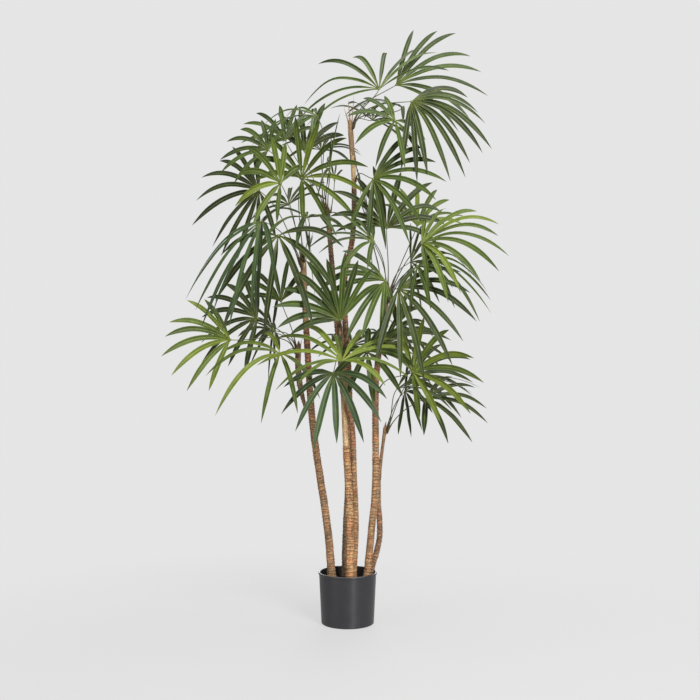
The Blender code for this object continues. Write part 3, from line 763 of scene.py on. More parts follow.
# Leaflets

HUB_REACH = 0.0022
LEAST_HALF_WIDTH = 0.00018
EDGE_WAVE = 0.0007
EDGE_WAVES = (1.2, 2.4)
PLEATS = 3
STRAP_BROADER = 1.14
MORE_ARCH = 0.10
TIP_CURL = 0.055
CURL_SPAN = (0.4, 1.3)
CURL_FROM = 0.45
BENT_SHARE = 0.10
BENT_CURL = 2.6
TWIST_POWER = 1.4
FOLD_POWER = 2.2


def leaflet_strap(leaflet, sizes, draw):
    """Points and marks of one pleated strap that follows the leaflet's drooping line."""
    t = np.linspace(0.0, 1.0, sizes.leaflet_rows + 1)
    heading = np.array(leaflet.heading)
    up = np.array(UP)
    level = math.sqrt(max(0.0, 1 - heading[2] ** 2))
    arch = (LEAF_ARCH + MORE_ARCH) * level
    curl = TIP_CURL * level * draw.uniform(*CURL_SPAN)
    if draw.random() < BENT_SHARE:
        curl *= BENT_CURL
    late = np.maximum(0.0, (t - CURL_FROM) / (1 - CURL_FROM))
    run = HUB_REACH + (leaflet.length - HUB_REACH) * t
    rise = leaflet.length * (arch * t * (1 - t) - leaflet.droop * t ** 2 - curl * late ** 2)
    slope = arch * (1 - 2 * t) - 2 * leaflet.droop * t - 2 * curl * late / (1 - CURL_FROM)
    line = np.array(leaflet.knot) + heading * run[:, None] + up * rise[:, None]
    along = unit(heading + up * slope[:, None])
    side = unit(np.cross(np.array(leaflet.axes[2]), along))
    face = np.cross(along, side)
    sway = draw.uniform(-1, 1) * sizes.leaflet_sway * leaflet.length
    line = line + side * (sway * t ** 2)[:, None]
    turn = (draw.uniform(-1, 1) * sizes.leaflet_twist * t ** TWIST_POWER)[:, None]
    side, face = (
        side * np.cos(turn) + face * np.sin(turn), face * np.cos(turn) - side * np.sin(turn)
    )
    half = 0.5 * STRAP_BROADER * leaflet.width * width_share(t, STRAP_BLADE)
    half = np.maximum(half, LEAST_HALF_WIDTH)[:, None]
    fold = sizes.fold_at_tip + (sizes.fold_at_root - sizes.fold_at_tip) * (1 - t) ** FOLD_POWER
    fold = fold[:, None]
    u = np.linspace(-1.0, 1.0, sizes.leaflet_columns + 1)[None, :]
    share = half / half.max()
    pleat = sizes.pleat_depth * share * np.cos(PLEATS * math.pi * u)
    waves = t[:, None] * draw.uniform(*EDGE_WAVES) + draw.random()
    wave = EDGE_WAVE * np.sin(math.tau * waves)
    lift = half * np.sin(fold) * (np.abs(u) - 1) + pleat + wave * share * np.abs(u)
    points = (
        line[:, None, :] + side[:, None, :] * (half * np.cos(fold) * u)[:, :, None]
        + face[:, None, :] * lift[:, :, None]
    )
    marks = np.stack(np.broadcast_arrays(0.5 + 0.5 * u, t[:, None]), axis=-1)
    return points, marks


class DressLeaves(bpy.types.Operator):
    """Grows the pleated leaflets of every fan, one piece for each stem and shade"""

    bl_idname = "palm.dress_leaves"
    bl_label = "Leaves"

    def execute(self, context):
        sizes = context.scene.palm_sizes
        quads = net(sizes.leaflet_rows + 1, sizes.leaflet_columns + 1)
        cloths = {}
        for (stem, shade), fronds in fronds_by("stem", "shade"):
            if shade not in cloths:
                cloths[shade] = [leaf_material(shade, index) for index in range(len(TINTS))]
            heap = Heap()
            for frond in fronds:
                draw = random.Random("strap " + frond.name)
                for leaflet in palm().leaflets[frond.name]:
                    strap = leaflet_strap(leaflet, sizes, draw)
                    heap.add(*strap, quads, tint=draw.randrange(len(TINTS)))
            name = "leaves_" + stem.removeprefix("stem_") + "_" + shade
            replaced = [frond.name for frond in fronds]
            show_piece(name, heap.mesh(name), cloths[shade], replaced)
        return {"FINISHED"}


# Stalks and hubs

STALK_STEPS_FINE = 18
STALK_SIDES_FINE = 8
STALK_FOOT_SWELL = 1.5
STALK_SWELL_LENGTH = 0.22
STALK_SWELL_POWER = 1.5
STALK_THICK = 1.1
STALK_THINNING = 0.25
HUB_SUBDIVISIONS = 2
HUB_THICKNESS = 0.6
HUB_MARK = (0.5, 1.0)


def stalk_tube(stalk, sizes):
    """Points, marks and faces of one round stalk, swollen at its foot, with closed ends."""
    t = np.linspace(0.0, 1.0, STALK_STEPS_FINE + 1)
    line = bezier([np.array(point) for point in stalk.controls], t[:, None])
    swell = np.maximum(0.0, 1 - t / STALK_SWELL_LENGTH) ** STALK_SWELL_POWER
    radii = sizes.stalk_radius * (1 + STALK_FOOT_SWELL * swell)
    radii = radii * (STALK_THICK - STALK_THINNING * t)
    route = [Vector(point) for point in line]
    rings = tube_rings(route, radii.tolist(), STALK_SIDES_FINE, stalk.start)
    points = np.concatenate((np.array(rings).reshape(-1, 3), line[:1], line[-1:]))
    marks = np.stack((
        np.tile(np.arange(STALK_SIDES_FINE) / STALK_SIDES_FINE, len(t)),
        np.repeat(t, STALK_SIDES_FINE),
    ), axis=-1)
    marks = np.concatenate((marks, [(0.5, 0.0), (0.5, 1.0)]))
    foot, end = len(points) - 2, len(points) - 1
    last = STALK_STEPS_FINE * STALK_SIDES_FINE
    caps = []
    for corner in range(STALK_SIDES_FINE):
        step = (corner + 1) % STALK_SIDES_FINE
        caps += [(step, corner, foot), (last + corner, last + step, end)]
    return points, marks, net(len(t), STALK_SIDES_FINE, closed=True), caps


def hub_template():
    """A round button's points and faces, one unit in radius."""
    bm = bmesh.new()
    bmesh.ops.create_icosphere(bm, subdivisions=HUB_SUBDIVISIONS, radius=1.0)
    points = np.array([vert.co for vert in bm.verts])
    triangles = np.array([[vert.index for vert in face.verts] for face in bm.faces])
    bm.free()
    return points, triangles


class DressStalks(bpy.types.Operator):
    """Bends the round leaf stalks from their stems to the buttons of their fans"""

    bl_idname = "palm.dress_stalks"
    bl_label = "Stalks"

    def execute(self, context):
        sizes = context.scene.palm_sizes
        button, button_faces = hub_template()
        material = stalk_material()
        for stem, fronds in fronds_by("stem"):
            heap = Heap()
            for frond in fronds:
                stalk = palm().stalks[frond.name]
                heap.add(*stalk_tube(stalk, sizes))
                middle, side, face = stalk.axes
                plane = np.array((middle, side, face * HUB_THICKNESS))
                hub = np.array(stalk.knot) + button @ plane * sizes.hub_radius
                heap.add(hub, np.full((len(hub), 2), HUB_MARK), button_faces)
            name = "stalks_" + stem.removeprefix("stem_")
            show_piece(name, heap.mesh(name), [material], [])
        return {"FINISHED"}


# Bark

# One leaf scar's outline: how far along the ring, how far out as a share of its depth, its
# brightness, and how much of its wave it takes from the next scar up. The brightness is partly the
# scar's own darker
# colour and partly painted light: painted shade in the groove and a painted highlight on the raised
# lip
Scar = namedtuple("Scar", "along out shade next")
SCAR = (
    Scar(0.0, -1.0, 0.34, 0.0), Scar(0.20, 0.85, 1.55, 0.0),
    Scar(0.50, 0.15, 1.05, 0.5), Scar(0.80, 0.15, 0.64, 1.0),
)
RING_JITTER = 0.42
RING_TILT = 0.17
RING_RIPPLE = 0.0012
RING_GRAIN = 0.8
# Waves round a ring, and between what shares of their full height they lie
RIPPLES = 3
WAVE_SPAN = (0.2, 1)
BARK_STEP = 0.004
BARK_SHARE = 0.985
BARK_LUMPS = 0.08
BARK_GRAIN = 0.0003
LUMP_SCALE = (1.7, 34.0)
GRAIN_SCALE = (7.0, 260.0)
GRAIN_TONE = 0.9
LUMP_TONE = 0.8
PALEST = 0.85
# How far one ring's colour may differ from the next: in brightness, and towards red
RING_TONE = 0.34
RING_WARM = (0.10, -0.10, -0.16)
# How clearly a ring is marked, in its own colour and its painted shade and highlight, between its
# least and its most
RING_MARK = (0.35, 1.35)
ZONE_BLEND = 0.010
# How the stem narrows to a bud: distance past its tip, and radius as a share of the tip's
BUD = ((0.0, 0.95), (0.005, 0.78), (0.011, 0.50), (0.017, 0.22), (0.020, 0.04))

# Bark by height: from which height up, its linear colour, how strong its rings are and
# how thick it is as a share of the stem
Zone = namedtuple("Zone", "start colour rings girth")
TAN = (0.340, 0.172, 0.076)
ORANGE = (0.450, 0.222, 0.092)
RUSSET = (0.250, 0.098, 0.050)
DRAB = (0.240, 0.140, 0.080)
UMBER = (0.085, 0.040, 0.022)
HONEY = (0.230, 0.114, 0.050)
ASH = (0.115, 0.088, 0.062)
CHESTNUT = (0.200, 0.085, 0.045)
CREAM = (0.700, 0.450, 0.230)
SMOOTH = (0.165, 0.085, 0.040)
BARK_ZONES = {
    "stem_left": (
        Zone(0.0, HONEY, 1.0, 1.0), Zone(0.72, RUSSET, 1.0, 1.0), Zone(0.900, TAN, 0.7, 1.0),
        Zone(0.965, UMBER, 0.8, 1.04), Zone(1.000, CREAM, 0.15, 0.94),
    ),
    "stem_left_side": (Zone(0.0, UMBER, 0.6, 1.0),),
    "stem_front": (
        Zone(0.0, ORANGE, 1.0, 1.0), Zone(0.534, CREAM, 0.1, 0.84), Zone(0.690, RUSSET, 0.9, 1.0),
        Zone(1.050, UMBER, 0.7, 1.0),
    ),
    "stem_tall": (
        Zone(0.0, ASH, 1.0, 1.0), Zone(0.330, DRAB, 1.0, 1.0), Zone(0.600, RUSSET, 1.0, 1.0),
        Zone(1.166, UMBER, 0.7, 1.0), Zone(1.314, CREAM, 0.1, 0.95),
    ),
    "stem_centre": (
        Zone(0.0, TAN, 1.0, 1.0), Zone(0.534, RUSSET, 1.0, 1.0), Zone(0.780, UMBER, 0.8, 1.0),
    ),
    "stem_right": (Zone(0.0, TAN, 1.0, 1.0), Zone(0.600, RUSSET, 0.9, 1.0)),
    "stem_right_short": (
        Zone(0.0, CHESTNUT, 1.3, 1.12), Zone(0.330, DRAB, 1.2, 1.0), Zone(0.447, SMOOTH, 0.1, 0.96),
    ),
}


def zone_at(zones, height):
    """Colour, ring strength and girth at a height, blended where two zones meet."""
    here = np.array((*zones[0].colour, zones[0].rings, zones[0].girth))
    for zone in zones[1:]:
        mix = min(1.0, max(0.0, (height - zone.start) / ZONE_BLEND + 0.5))
        here = here + (np.array((*zone.colour, zone.rings, zone.girth)) - here) * mix
    return here[:3], here[3], here[4]


def bark_rows(length, spacing, draw):
    """Every row up the bark: its distance, outline and shade, and its two waves' vectors."""
    marks = [0.0]
    while marks[-1] < length:
        marks.append(marks[-1] + spacing * (1 + draw.uniform(-1, 1) * RING_JITTER))
    waves = []
    for _ in marks:
        bearing, phase = draw.uniform(0, math.tau), draw.uniform(0, math.tau)
        tilt, ripple = draw.uniform(*WAVE_SPAN), draw.uniform(*WAVE_SPAN)
        waves.append(np.array((
            tilt * math.cos(bearing), tilt * math.sin(bearing),
            ripple * math.cos(phase), ripple * math.sin(phase),
        )))
    rows = []
    for low, high, wave, wave_up in zip(marks, marks[1:], waves, waves[1:]):
        tone = np.array(RING_WARM) * draw.uniform(-1, 1) + draw.uniform(-1, 1) * RING_TONE + 1
        # The ring's mark sets how strongly its scar's own colour, painted shade and painted
        # highlight show
        mark = draw.uniform(*RING_MARK)
        for scar in SCAR:
            spot = low + (high - low) * scar.along
            if spot < length:
                wave_here = wave + (wave_up - wave) * scar.next
                rows.append((spot, scar.out, (1 + (scar.shade - 1) * mark) * tone, wave_here))
    rows += [(length + past, 0.0, np.ones(3), np.zeros(4)) for past, _ in BUD]
    return rows


def noise_at(spoke, spot, scale):
    """Noise on the bark, with one scale round the stem and another up it."""
    return noise.noise(spoke * scale[0] + Vector((0, 0, spot)) * scale[1])


def bark_skin(trunk, sizes):
    """A net wrapped round the stem's curve, cut by leaf scars and coloured by zone, with painted
    shade in the scar grooves and a painted highlight on their lips.
    """
    draw = random.Random("bark " + trunk.stem.name)
    line = np.array(curve_through(trunk.stem.route, BARK_STEP))
    along = unit(np.gradient(line, axis=0))
    if trunk.flared:
        along[0] = UP
    steps = np.linalg.norm(np.diff(line, axis=0), axis=1)
    distance = np.concatenate(([0.0], np.cumsum(steps)))
    length = distance[-1]
    rows = bark_rows(length, sizes.ring_spacing, draw)
    spots = np.array([row[0] for row in rows])
    centres, ways = (
        np.stack([np.interp(spots, distance, track[:, axis]) for axis in range(3)], axis=1)
        for track in (line, along)
    )
    ways = unit(ways)
    centres += ways * np.maximum(0.0, spots - length)[:, None]
    radii = np.interp(spots / length, np.linspace(0, 1, len(trunk.radii)), trunk.radii)
    radii[-len(BUD):] *= [share for _, share in BUD]
    sides = sizes.bark_sides
    bm = bmesh.new()
    bmesh.ops.create_grid(bm, x_segments=sides, y_segments=len(rows) - 1, size=1.0)
    bm.verts.ensure_lookup_table()
    colours = bm.verts.layers.float_color.new(BARK_LAYER)
    zones = BARK_ZONES[trunk.stem.name]
    side = np.array((1.0, 0.0, 0.0))
    for index, (spot, out, shade, wave) in enumerate(rows):
        way = ways[index]
        side = unit(side - way * side.dot(way))
        across = np.cross(way, side)
        colour, strength, girth = zone_at(zones, centres[index][2])
        level = index == 0 or index >= len(rows) - len(BUD)
        for corner in range(sides + 1):
            angle = math.tau * (corner % sides) / sides
            spoke = side * math.cos(angle) + across * math.sin(angle)
            lump = noise_at(Vector(spoke.tolist()), spot, LUMP_SCALE)
            grain = noise_at(Vector(spoke.tolist()), spot, GRAIN_SCALE)
            radius = radii[index] * girth * (BARK_SHARE + BARK_LUMPS * lump)
            relief = sizes.ring_depth * strength * out * (1 + RING_GRAIN * grain)
            radius += relief + BARK_GRAIN * grain
            point = centres[index] + spoke * radius
            if not level:
                tilt = wave[0] * math.cos(angle) + wave[1] * math.sin(angle)
                turned = RIPPLES * angle
                ripple = wave[2] * math.cos(turned) + wave[3] * math.sin(turned)
                point = point + way * (tilt * RING_TILT * radius + ripple * RING_RIPPLE)
            vert = bm.verts[index * (sides + 1) + corner]
            vert.co = point
            # The scar's brightness, partly its own colour and partly painted shade in the groove
            # and a painted highlight on the lip, scaled by the zone's ring strength
            tone = 1 + (shade - 1) * strength
            tone *= (1 + GRAIN_TONE * grain) * (1 + LUMP_TONE * lump)
            vert[colours] = (*np.minimum(colour * tone, PALEST), 1.0)
    bmesh.ops.remove_doubles(bm, verts=bm.verts, dist=MERGE_DISTANCE)
    rims = [edge for edge in bm.edges if edge.is_boundary]
    bmesh.ops.holes_fill(bm, edges=rims, sides=0)
    bmesh.ops.recalc_face_normals(bm, faces=bm.faces)
    return finished_mesh(bm, "bark", BARK_CRISP)


class DressStems(bpy.types.Operator):
    """Wraps each stem in bark with the relief of its leaf scars"""

    bl_idname = "palm.dress_stems"
    bl_label = "Stems"

    def execute(self, context):
        material = bark_material()
        for name, trunk in palm().trunks.items():
            bark = bark_skin(trunk, context.scene.palm_sizes)
            piece = "bark_" + name.removeprefix("stem_")
            show_piece(piece, bark, [material], [name])
        return {"FINISHED"}


# Sheaths

# Each stem's sheaths: how many, how far below the tip they start, how far they reach over it
SHEATHS = {
    "stem_left": (9, 0.130, 0.060), "stem_left_side": (6, 0.080, 0.040),
    "stem_front": (8, 0.110, 0.060), "stem_tall": (8, 0.120, 0.110),
    "stem_centre": (7, 0.090, 0.050), "stem_right": (9, 0.120, 0.060),
    "stem_right_short": (4, 0.045, 0.020),
}
SHEATH_ROWS = 10
SHEATH_COLUMNS = 5
SHEATH_STAND_OFF = 0.0007
SHEATH_LEAST_RADIUS = 0.0015
# A sheath narrows early, but a thin part of it runs on as a needle: shares and powers
SHEATH_BROAD = (0.88, 1.5)
SHEATH_NEEDLE = (0.12, 4)
# How far each sheath in turn leans out past the tip, or in where it is negative
SHEATH_FLARES = (-0.16, 0.20, -0.10, 0.34)
# How far a sheath's bearing, start and reach may wander, as shares
SHEATH_ASIDE = (-0.3, 0.3)
SHEATH_STARTS = (0.6, 1.0)
SHEATH_REACHES = (0.3, 1.0)


def sheath_strip(trunk, start, reach, bearing, width, flare):
    """A pointed sheath that clasps the stem and then leans away past its tip."""
    tip = trunk.route[-1]
    points = []
    marks = []
    for row in range(SHEATH_ROWS):
        t = row / (SHEATH_ROWS - 1)
        height = tip.z - start + (start + reach) * t
        centre, way = trunk.axis_at(min(height, tip.z))
        past = max(0.0, height - tip.z)
        centre = centre + way * past
        radius = trunk.radii[-1] + SHEATH_STAND_OFF * (1 + t) + past * flare
        radius = max(radius, SHEATH_LEAST_RADIUS)
        broad = SHEATH_BROAD[0] * (1 - t) ** SHEATH_BROAD[1]
        needle = SHEATH_NEEDLE[0] * (1 - t ** SHEATH_NEEDLE[1])
        half = 0.5 * width * (broad + needle) / radius
        for column in range(SHEATH_COLUMNS):
            u = column / (SHEATH_COLUMNS - 1)
            points.append(centre + outward(bearing + half * (2 * u - 1), way) * radius)
            marks.append((u, t))
    return points, marks


class DressSheaths(bpy.types.Operator):
    """Clasps dry leaf sheaths round the top of each stem"""

    bl_idname = "palm.dress_sheaths"
    bl_label = "Sheaths"

    def execute(self, context):
        width = context.scene.palm_sizes.sheath_width
        heap = Heap()
        quads = net(SHEATH_ROWS, SHEATH_COLUMNS)
        for name, (count, start, reach) in SHEATHS.items():
            draw = random.Random("sheath " + name)
            for index in range(count):
                bearing = math.tau * (index + draw.uniform(*SHEATH_ASIDE)) / count
                below = start * draw.uniform(*SHEATH_STARTS)
                above = reach * draw.uniform(*SHEATH_REACHES)
                flare = SHEATH_FLARES[index % len(SHEATH_FLARES)]
                strip = sheath_strip(palm().trunks[name], below, above, bearing, width, flare)
                heap.add(*strip, quads)
        show_piece("leaf_sheaths", heap.mesh("leaf_sheaths"), [sheath_material()], [])
        return {"FINISHED"}


# Pot and fill

POT_TURN_STEPS = 96
POT_ROUNDING = 0.0009
POT_BEAD = 0.0005
FILL_RINGS = 14
FILL_ROUGHNESS_HEIGHT = 0.0016
FILL_LUMP_SCALE = 60
# How fast the finer lumps weaken, how much finer each is, and how many there are
FILL_LUMPS = (0.8, 2.0, 3)


def spun(outline, steps):
    """A body turned about the Z axis from an (r, z) outline that starts and ends on it."""
    bm = bmesh.new()
    verts = [bm.verts.new((radius, 0.0, height)) for radius, height in outline]
    edges = [bm.edges.new(pair) for pair in zip(verts, verts[1:])]
    bmesh.ops.spin(
        bm, geom=verts + edges, cent=(0.0, 0.0, 0.0), axis=UP, dvec=(0.0, 0.0, 0.0),
        angle=math.tau, steps=steps, use_merge=True,
    )
    bmesh.ops.remove_doubles(bm, verts=bm.verts, dist=MERGE_DISTANCE)
    bmesh.ops.recalc_face_normals(bm, faces=bm.faces)
    return bm


def inner_radius(height):
    """The pot's inner radius at a height."""
    bottom = POT_FOOT_RADIUS - POT_WALL
    mouth = POT_RIM_RADIUS - POT_LIP - POT_WALL
    return bottom + (mouth - bottom) * (height - POT_FLOOR) / (POT_HEIGHT - POT_FLOOR)


class DressPot(bpy.types.Operator):
    """Turns the nursery pot with its rim band and rounded edges"""

    bl_idname = "palm.dress_pot"
    bl_label = "Pot"

    def execute(self, context):
        lip_foot = POT_HEIGHT - POT_LIP_HEIGHT
        wall_top = POT_RIM_RADIUS - POT_LIP
        bm = spun((
            (0.0, 0.0),
            (POT_FOOT_RADIUS - POT_FOOT_CHAMFER, 0.0),
            (POT_FOOT_RADIUS - POT_BEAD, POT_FOOT_CHAMFER * 0.5),
            (POT_FOOT_RADIUS, POT_FOOT_CHAMFER),
            (wall_top, lip_foot),
            (POT_RIM_RADIUS - POT_BEAD, lip_foot + POT_LIP * 0.5),
            (POT_RIM_RADIUS, lip_foot + POT_LIP),
            (POT_RIM_RADIUS, POT_HEIGHT),
            (wall_top - POT_WALL, POT_HEIGHT),
            (POT_FOOT_RADIUS - POT_WALL, POT_FLOOR),
            (0.0, POT_FLOOR),
        ), POT_TURN_STEPS)
        crisp = [
            edge for edge in bm.edges
            if len(edge.link_faces) == 2 and edge.calc_face_angle() > math.radians(POT_CRISP)
        ]
        bmesh.ops.bevel(
            bm, geom=crisp, offset=POT_ROUNDING, offset_type="OFFSET", affect="EDGES",
            segments=3, profile=0.5, material=-1,
        )
        mesh = finished_mesh(bm, "pot_shell", POT_CRISP)
        show_piece("pot_shell", mesh, [pot_material()], ["pot"])
        return {"FINISHED"}


class DressFill(bpy.types.Operator):
    """Casts the rough cement that holds the stems"""

    bl_idname = "palm.dress_fill"
    bl_label = "Fill"

    def execute(self, context):
        bottom = POT_FLOOR + SEAT_GAP
        edge = inner_radius(FILL_TOP) - FILL_GAP
        outline = [(0.0, bottom), (inner_radius(bottom) - FILL_GAP, bottom)]
        outline += [(edge * (1 - ring / FILL_RINGS), FILL_TOP) for ring in range(FILL_RINGS + 1)]
        bm = spun(outline, POT_TURN_STEPS)
        for vert in bm.verts:
            reach = math.hypot(vert.co.x, vert.co.y)
            if vert.co.z > FILL_TOP - MERGE_DISTANCE and reach < edge - MERGE_DISTANCE:
                lump = noise.fractal(vert.co * FILL_LUMP_SCALE, *FILL_LUMPS)
                vert.co.z += FILL_ROUGHNESS_HEIGHT * (lump - 0.5)
        mesh = finished_mesh(bm, "cement", BARK_CRISP)
        show_piece("cement", mesh, [cement_material()], ["fill"])
        return {"FINISHED"}


# Finishes

# Shares of a leaf shade's red, green and blue, dealt out leaflet by leaflet
TINTS = ((0.37, 0.43, 0.45), (0.60, 0.64, 0.60), (0.90, 0.87, 0.66))
# How pure the vein colour stays over a leaf's own, and how much brighter that own is there
VEIN_PURE = 0.55
VEIN_BRIGHTER = 2.4
# How clearly the veins and the threads between them show
VEIN_CLEAR = 0.62
THREAD_CLEAR = 0.16
# Where along a leaflet, and how far, its root turns to the vein colour and its tip darkens
ROOT_YELLOW = ((0.22, 0.0), (0.0, 0.75))
TIP_DARK = ((0.55, 1.0), (0.0, 0.45))
TIP_SHADE = 0.62
# The underside: how much paler, by a share and by a little more, and how far it shows
UNDER_PALER = (1.25, 0.02)
UNDER_CLEAR = 0.35
# Between which values a noise texture mostly lies, and a sheath's pale streaks set in
NOISE_SPAN = (0.3, 0.7)
STREAK_SPAN = (0.42, 0.62)
# Roughness where a pattern is lowest and where it is highest
CLOTH_ROUGH = (0.38, 0.52)
BARK_ROUGH = (0.70, 0.92)
POT_ROUGH = (0.34, 0.46)
FIBRE_STRETCH = (46.0, 5.0, 1.0)
BARK_SQUASH = (1.0, 1.0, 2.4)
# Coated wire from its foot, at 0, to the hub, at 1
STALK_SHADES = (
    (0.0, (0.090, 0.058, 0.022)), (0.25, (0.078, 0.090, 0.026)),
    (0.9, (0.070, 0.098, 0.028)), (1.0, (0.170, 0.230, 0.060)),
)
STALK_STAIN = (0.045, 0.040, 0.018)
SHEATH_BROWN = (0.105, 0.048, 0.022)
SHEATH_STREAK = (0.600, 0.385, 0.190)
SCURF = (0.700, 0.450, 0.235)
CRACK = (0.085, 0.040, 0.020)
DUST = (0.30, 0.29, 0.28)
DUST_CLEAR = 0.035
# Dust gathers on the lowest part of the pot, from this height down
DUST_RISE = ((0.03, 0.0), (0.0, 0.5))
# The least and the most of the pot's patchy scuffs
SCUFFS = (-0.5, 0.5)
# Painted shade: the pot's inner face is coloured near black for the shadow that falls in its hollow
POT_INSIDE_SHADE = (0.010, 0.010, 0.011)
# How far into the pot's wall the painted shade of its hollow reaches, as a share of the wall
INSIDE_SHADE_SHARE = 0.3
GRIT = (0.075, 0.070, 0.064)
WHITE = (1.0, 1.0, 1.0)
# Nodes stand in rows of this many, so far apart
NODES_IN_ROW = 6
NODE_SPACE = (220, 320)


def feed_node(tree, made, feeds):
    """Links sockets to a node's inputs, and sets plain values on the others."""
    for slot, feed in feeds.items():
        socket = made.inputs[slot]
        if isinstance(feed, bpy.types.NodeSocket):
            tree.links.new(feed, socket)
        elif socket.type == "RGBA":
            socket.default_value = (*feed[:3], 1.0)
        else:
            socket.default_value = feed


def node(tree, kind, feeds=None, **settings):
    """A new node with its settings and feeds, as its outputs."""
    row, column = divmod(len(tree.nodes), NODES_IN_ROW)
    made = tree.nodes.new("ShaderNode" + kind)
    made.location = (column * NODE_SPACE[0], -row * NODE_SPACE[1])
    for name, value in settings.items():
        setattr(made, name, value)
    feed_node(tree, made, feeds or {})
    return made.outputs


def maths(tree, operation, *feeds, clamp=False):
    """The result of one sum on values and sockets."""
    return node(tree, "Math", dict(enumerate(feeds)), operation=operation, use_clamp=clamp)[0]


def ranged(tree, value, source, target, **settings):
    """A value carried over from one span to another."""
    feeds = dict(enumerate((value, *source, *target)))
    return node(tree, "MapRange", feeds, **settings)[0]


def mixed(tree, factor, first, second, blend="MIX"):
    """Two colours mixed by a factor."""
    feeds = {0: factor, 6: first, 7: second}
    return node(tree, "Mix", feeds, data_type="RGBA", blend_type=blend)[2]


def start_group(name, inputs, outputs):
    """A new node group with named inputs, a vector where None, and named values out."""
    tree = bpy.data.node_groups.new(name, "ShaderNodeTree")
    for label, default in inputs.items():
        kind = "NodeSocketVector" if default is None else "NodeSocketFloat"
        socket = tree.interface.new_socket(name=label, in_out="INPUT", socket_type=kind)
        if default is not None:
            socket.default_value = default
    for label in outputs:
        tree.interface.new_socket(name=label, in_out="OUTPUT", socket_type="NodeSocketFloat")
    given = tree.nodes.new("NodeGroupInput").outputs
    made = tree.nodes.new("NodeGroupOutput")
    made.location = (NODES_IN_ROW * NODE_SPACE[0], 0)
    return tree, given, made


def shared_group(name, build):
    """The node group of this name, built where the file doesn't have it yet."""
    return bpy.data.node_groups.get(name) or build(name)


def mottle_group(name):
    """Soft patches: a mask that wanders between its low and high values."""
    tree, given, made = start_group(
        name, {"Vector": None, "Scale": 20.0, "Detail": 3.0, "Low": 0.0, "High": 1.0}, ["Mask"]
    )
    feeds = {name: given[name] for name in ("Vector", "Scale", "Detail")}
    cloud = node(tree, "TexNoise", {**feeds, "Roughness": 0.55})[0]
    mask = ranged(tree, cloud, NOISE_SPAN, (given["Low"], given["High"]))
    feed_node(tree, made, {"Mask": mask})
    return tree


def strap_group(name):
    """Lines that run along a strap, its fibres, and how far along it a point lies."""
    tree, given, made = start_group(
        name, {"Lines": 4.0, "Sharpness": 4.0, "Detail": 2.0}, ["Mask", "Along", "Fibre"]
    )
    place = node(tree, "UVMap", uv_map=STRAP_MAP)["UV"]
    split = node(tree, "SeparateXYZ", {0: place})
    turn = maths(tree, "MULTIPLY", maths(tree, "MULTIPLY", split["X"], given["Lines"]), math.tau)
    level = maths(tree, "MULTIPLY_ADD", maths(tree, "COSINE", turn), 0.5, 0.5)
    line = maths(tree, "POWER", level, given["Sharpness"])
    stretch = node(tree, "Mapping", {"Vector": place, "Scale": FIBRE_STRETCH})[0]
    feeds = {"Vector": stretch, "Scale": 1.0, "Detail": given["Detail"]}
    fibre = node(tree, "TexNoise", feeds)[0]
    feed_node(tree, made, {"Mask": line, "Along": split["Y"], "Fibre": fibre})
    return tree


def patches(tree, vector, **values):
    """The mask of soft patches, from the shared group."""
    group = shared_group("Mottle", mottle_group)
    return node(tree, "Group", {"Vector": vector, **values}, node_tree=group)["Mask"]


def strap_lines(tree, **values):
    """The shared group's lines, fibres and place along the strap."""
    return node(tree, "Group", values, node_tree=shared_group("Strap lines", strap_group))


def start_material(name):
    """A new material, its tree, and the point's own place as a texture vector."""
    material = bpy.data.materials.new(name)
    material.use_nodes = True
    tree = material.node_tree
    return material, tree, node(tree, "TexCoord")["Object"]


def finish(material, colour, roughness, bump=None, **values):
    """Feeds the shader; the bump is its height, strength and distance."""
    tree = material.node_tree
    feeds = {"Base Color": colour, "Roughness": roughness}
    feeds.update((name.replace("_", " "), value) for name, value in values.items())
    if bump:
        height, strength, distance = bump
        relief = {"Height": height, "Strength": strength, "Distance": distance}
        feeds["Normal"] = node(tree, "Bump", relief)["Normal"]
    feed_node(tree, tree.nodes["Principled BSDF"], feeds)
    return material


def leaf_material(shade, index):
    """Leaf cloth: pale veins, a yellow root, a darker tip and soft patches."""
    colours = bpy.context.scene.palm_colours
    body = [own * share for own, share in zip(getattr(colours, shade + "_leaf"), TINTS[index])]
    own = [channel * VEIN_BRIGHTER for channel in body]
    vein = [b + (a - b) * VEIN_PURE for a, b in zip(colours.vein, own)]
    dark = [channel * TIP_SHADE for channel in body]
    pale = [min(1.0, channel * UNDER_PALER[0] + UNDER_PALER[1]) for channel in body]
    material, tree, place = start_material(f"leaf_{shade}_{index}")
    lines = strap_lines(tree, Lines=2.0, Sharpness=4.0)
    fine = strap_lines(tree, Lines=9.0, Sharpness=1.5)
    veins = maths(tree, "MULTIPLY", lines["Mask"], VEIN_CLEAR)
    threads = maths(tree, "MULTIPLY", fine["Mask"], THREAD_CLEAR)
    colour = mixed(tree, maths(tree, "ADD", veins, threads), body, vein)
    colour = mixed(tree, ranged(tree, lines["Along"], *ROOT_YELLOW), colour, vein)
    colour = mixed(tree, ranged(tree, lines["Along"], *TIP_DARK), colour, dark)
    soft = patches(tree, place, Scale=38.0, Detail=3.0, Low=0.72, High=1.18)
    colour = mixed(tree, 1.0, colour, soft, "MULTIPLY")
    under = maths(tree, "MULTIPLY", node(tree, "NewGeometry")["Backfacing"], UNDER_CLEAR)
    colour = mixed(tree, under, colour, pale)
    rough = ranged(tree, lines["Fibre"], NOISE_SPAN, CLOTH_ROUGH)
    return finish(material, colour, rough, (lines["Fibre"], 0.35, 0.0004), Specular_IOR_Level=0.22)


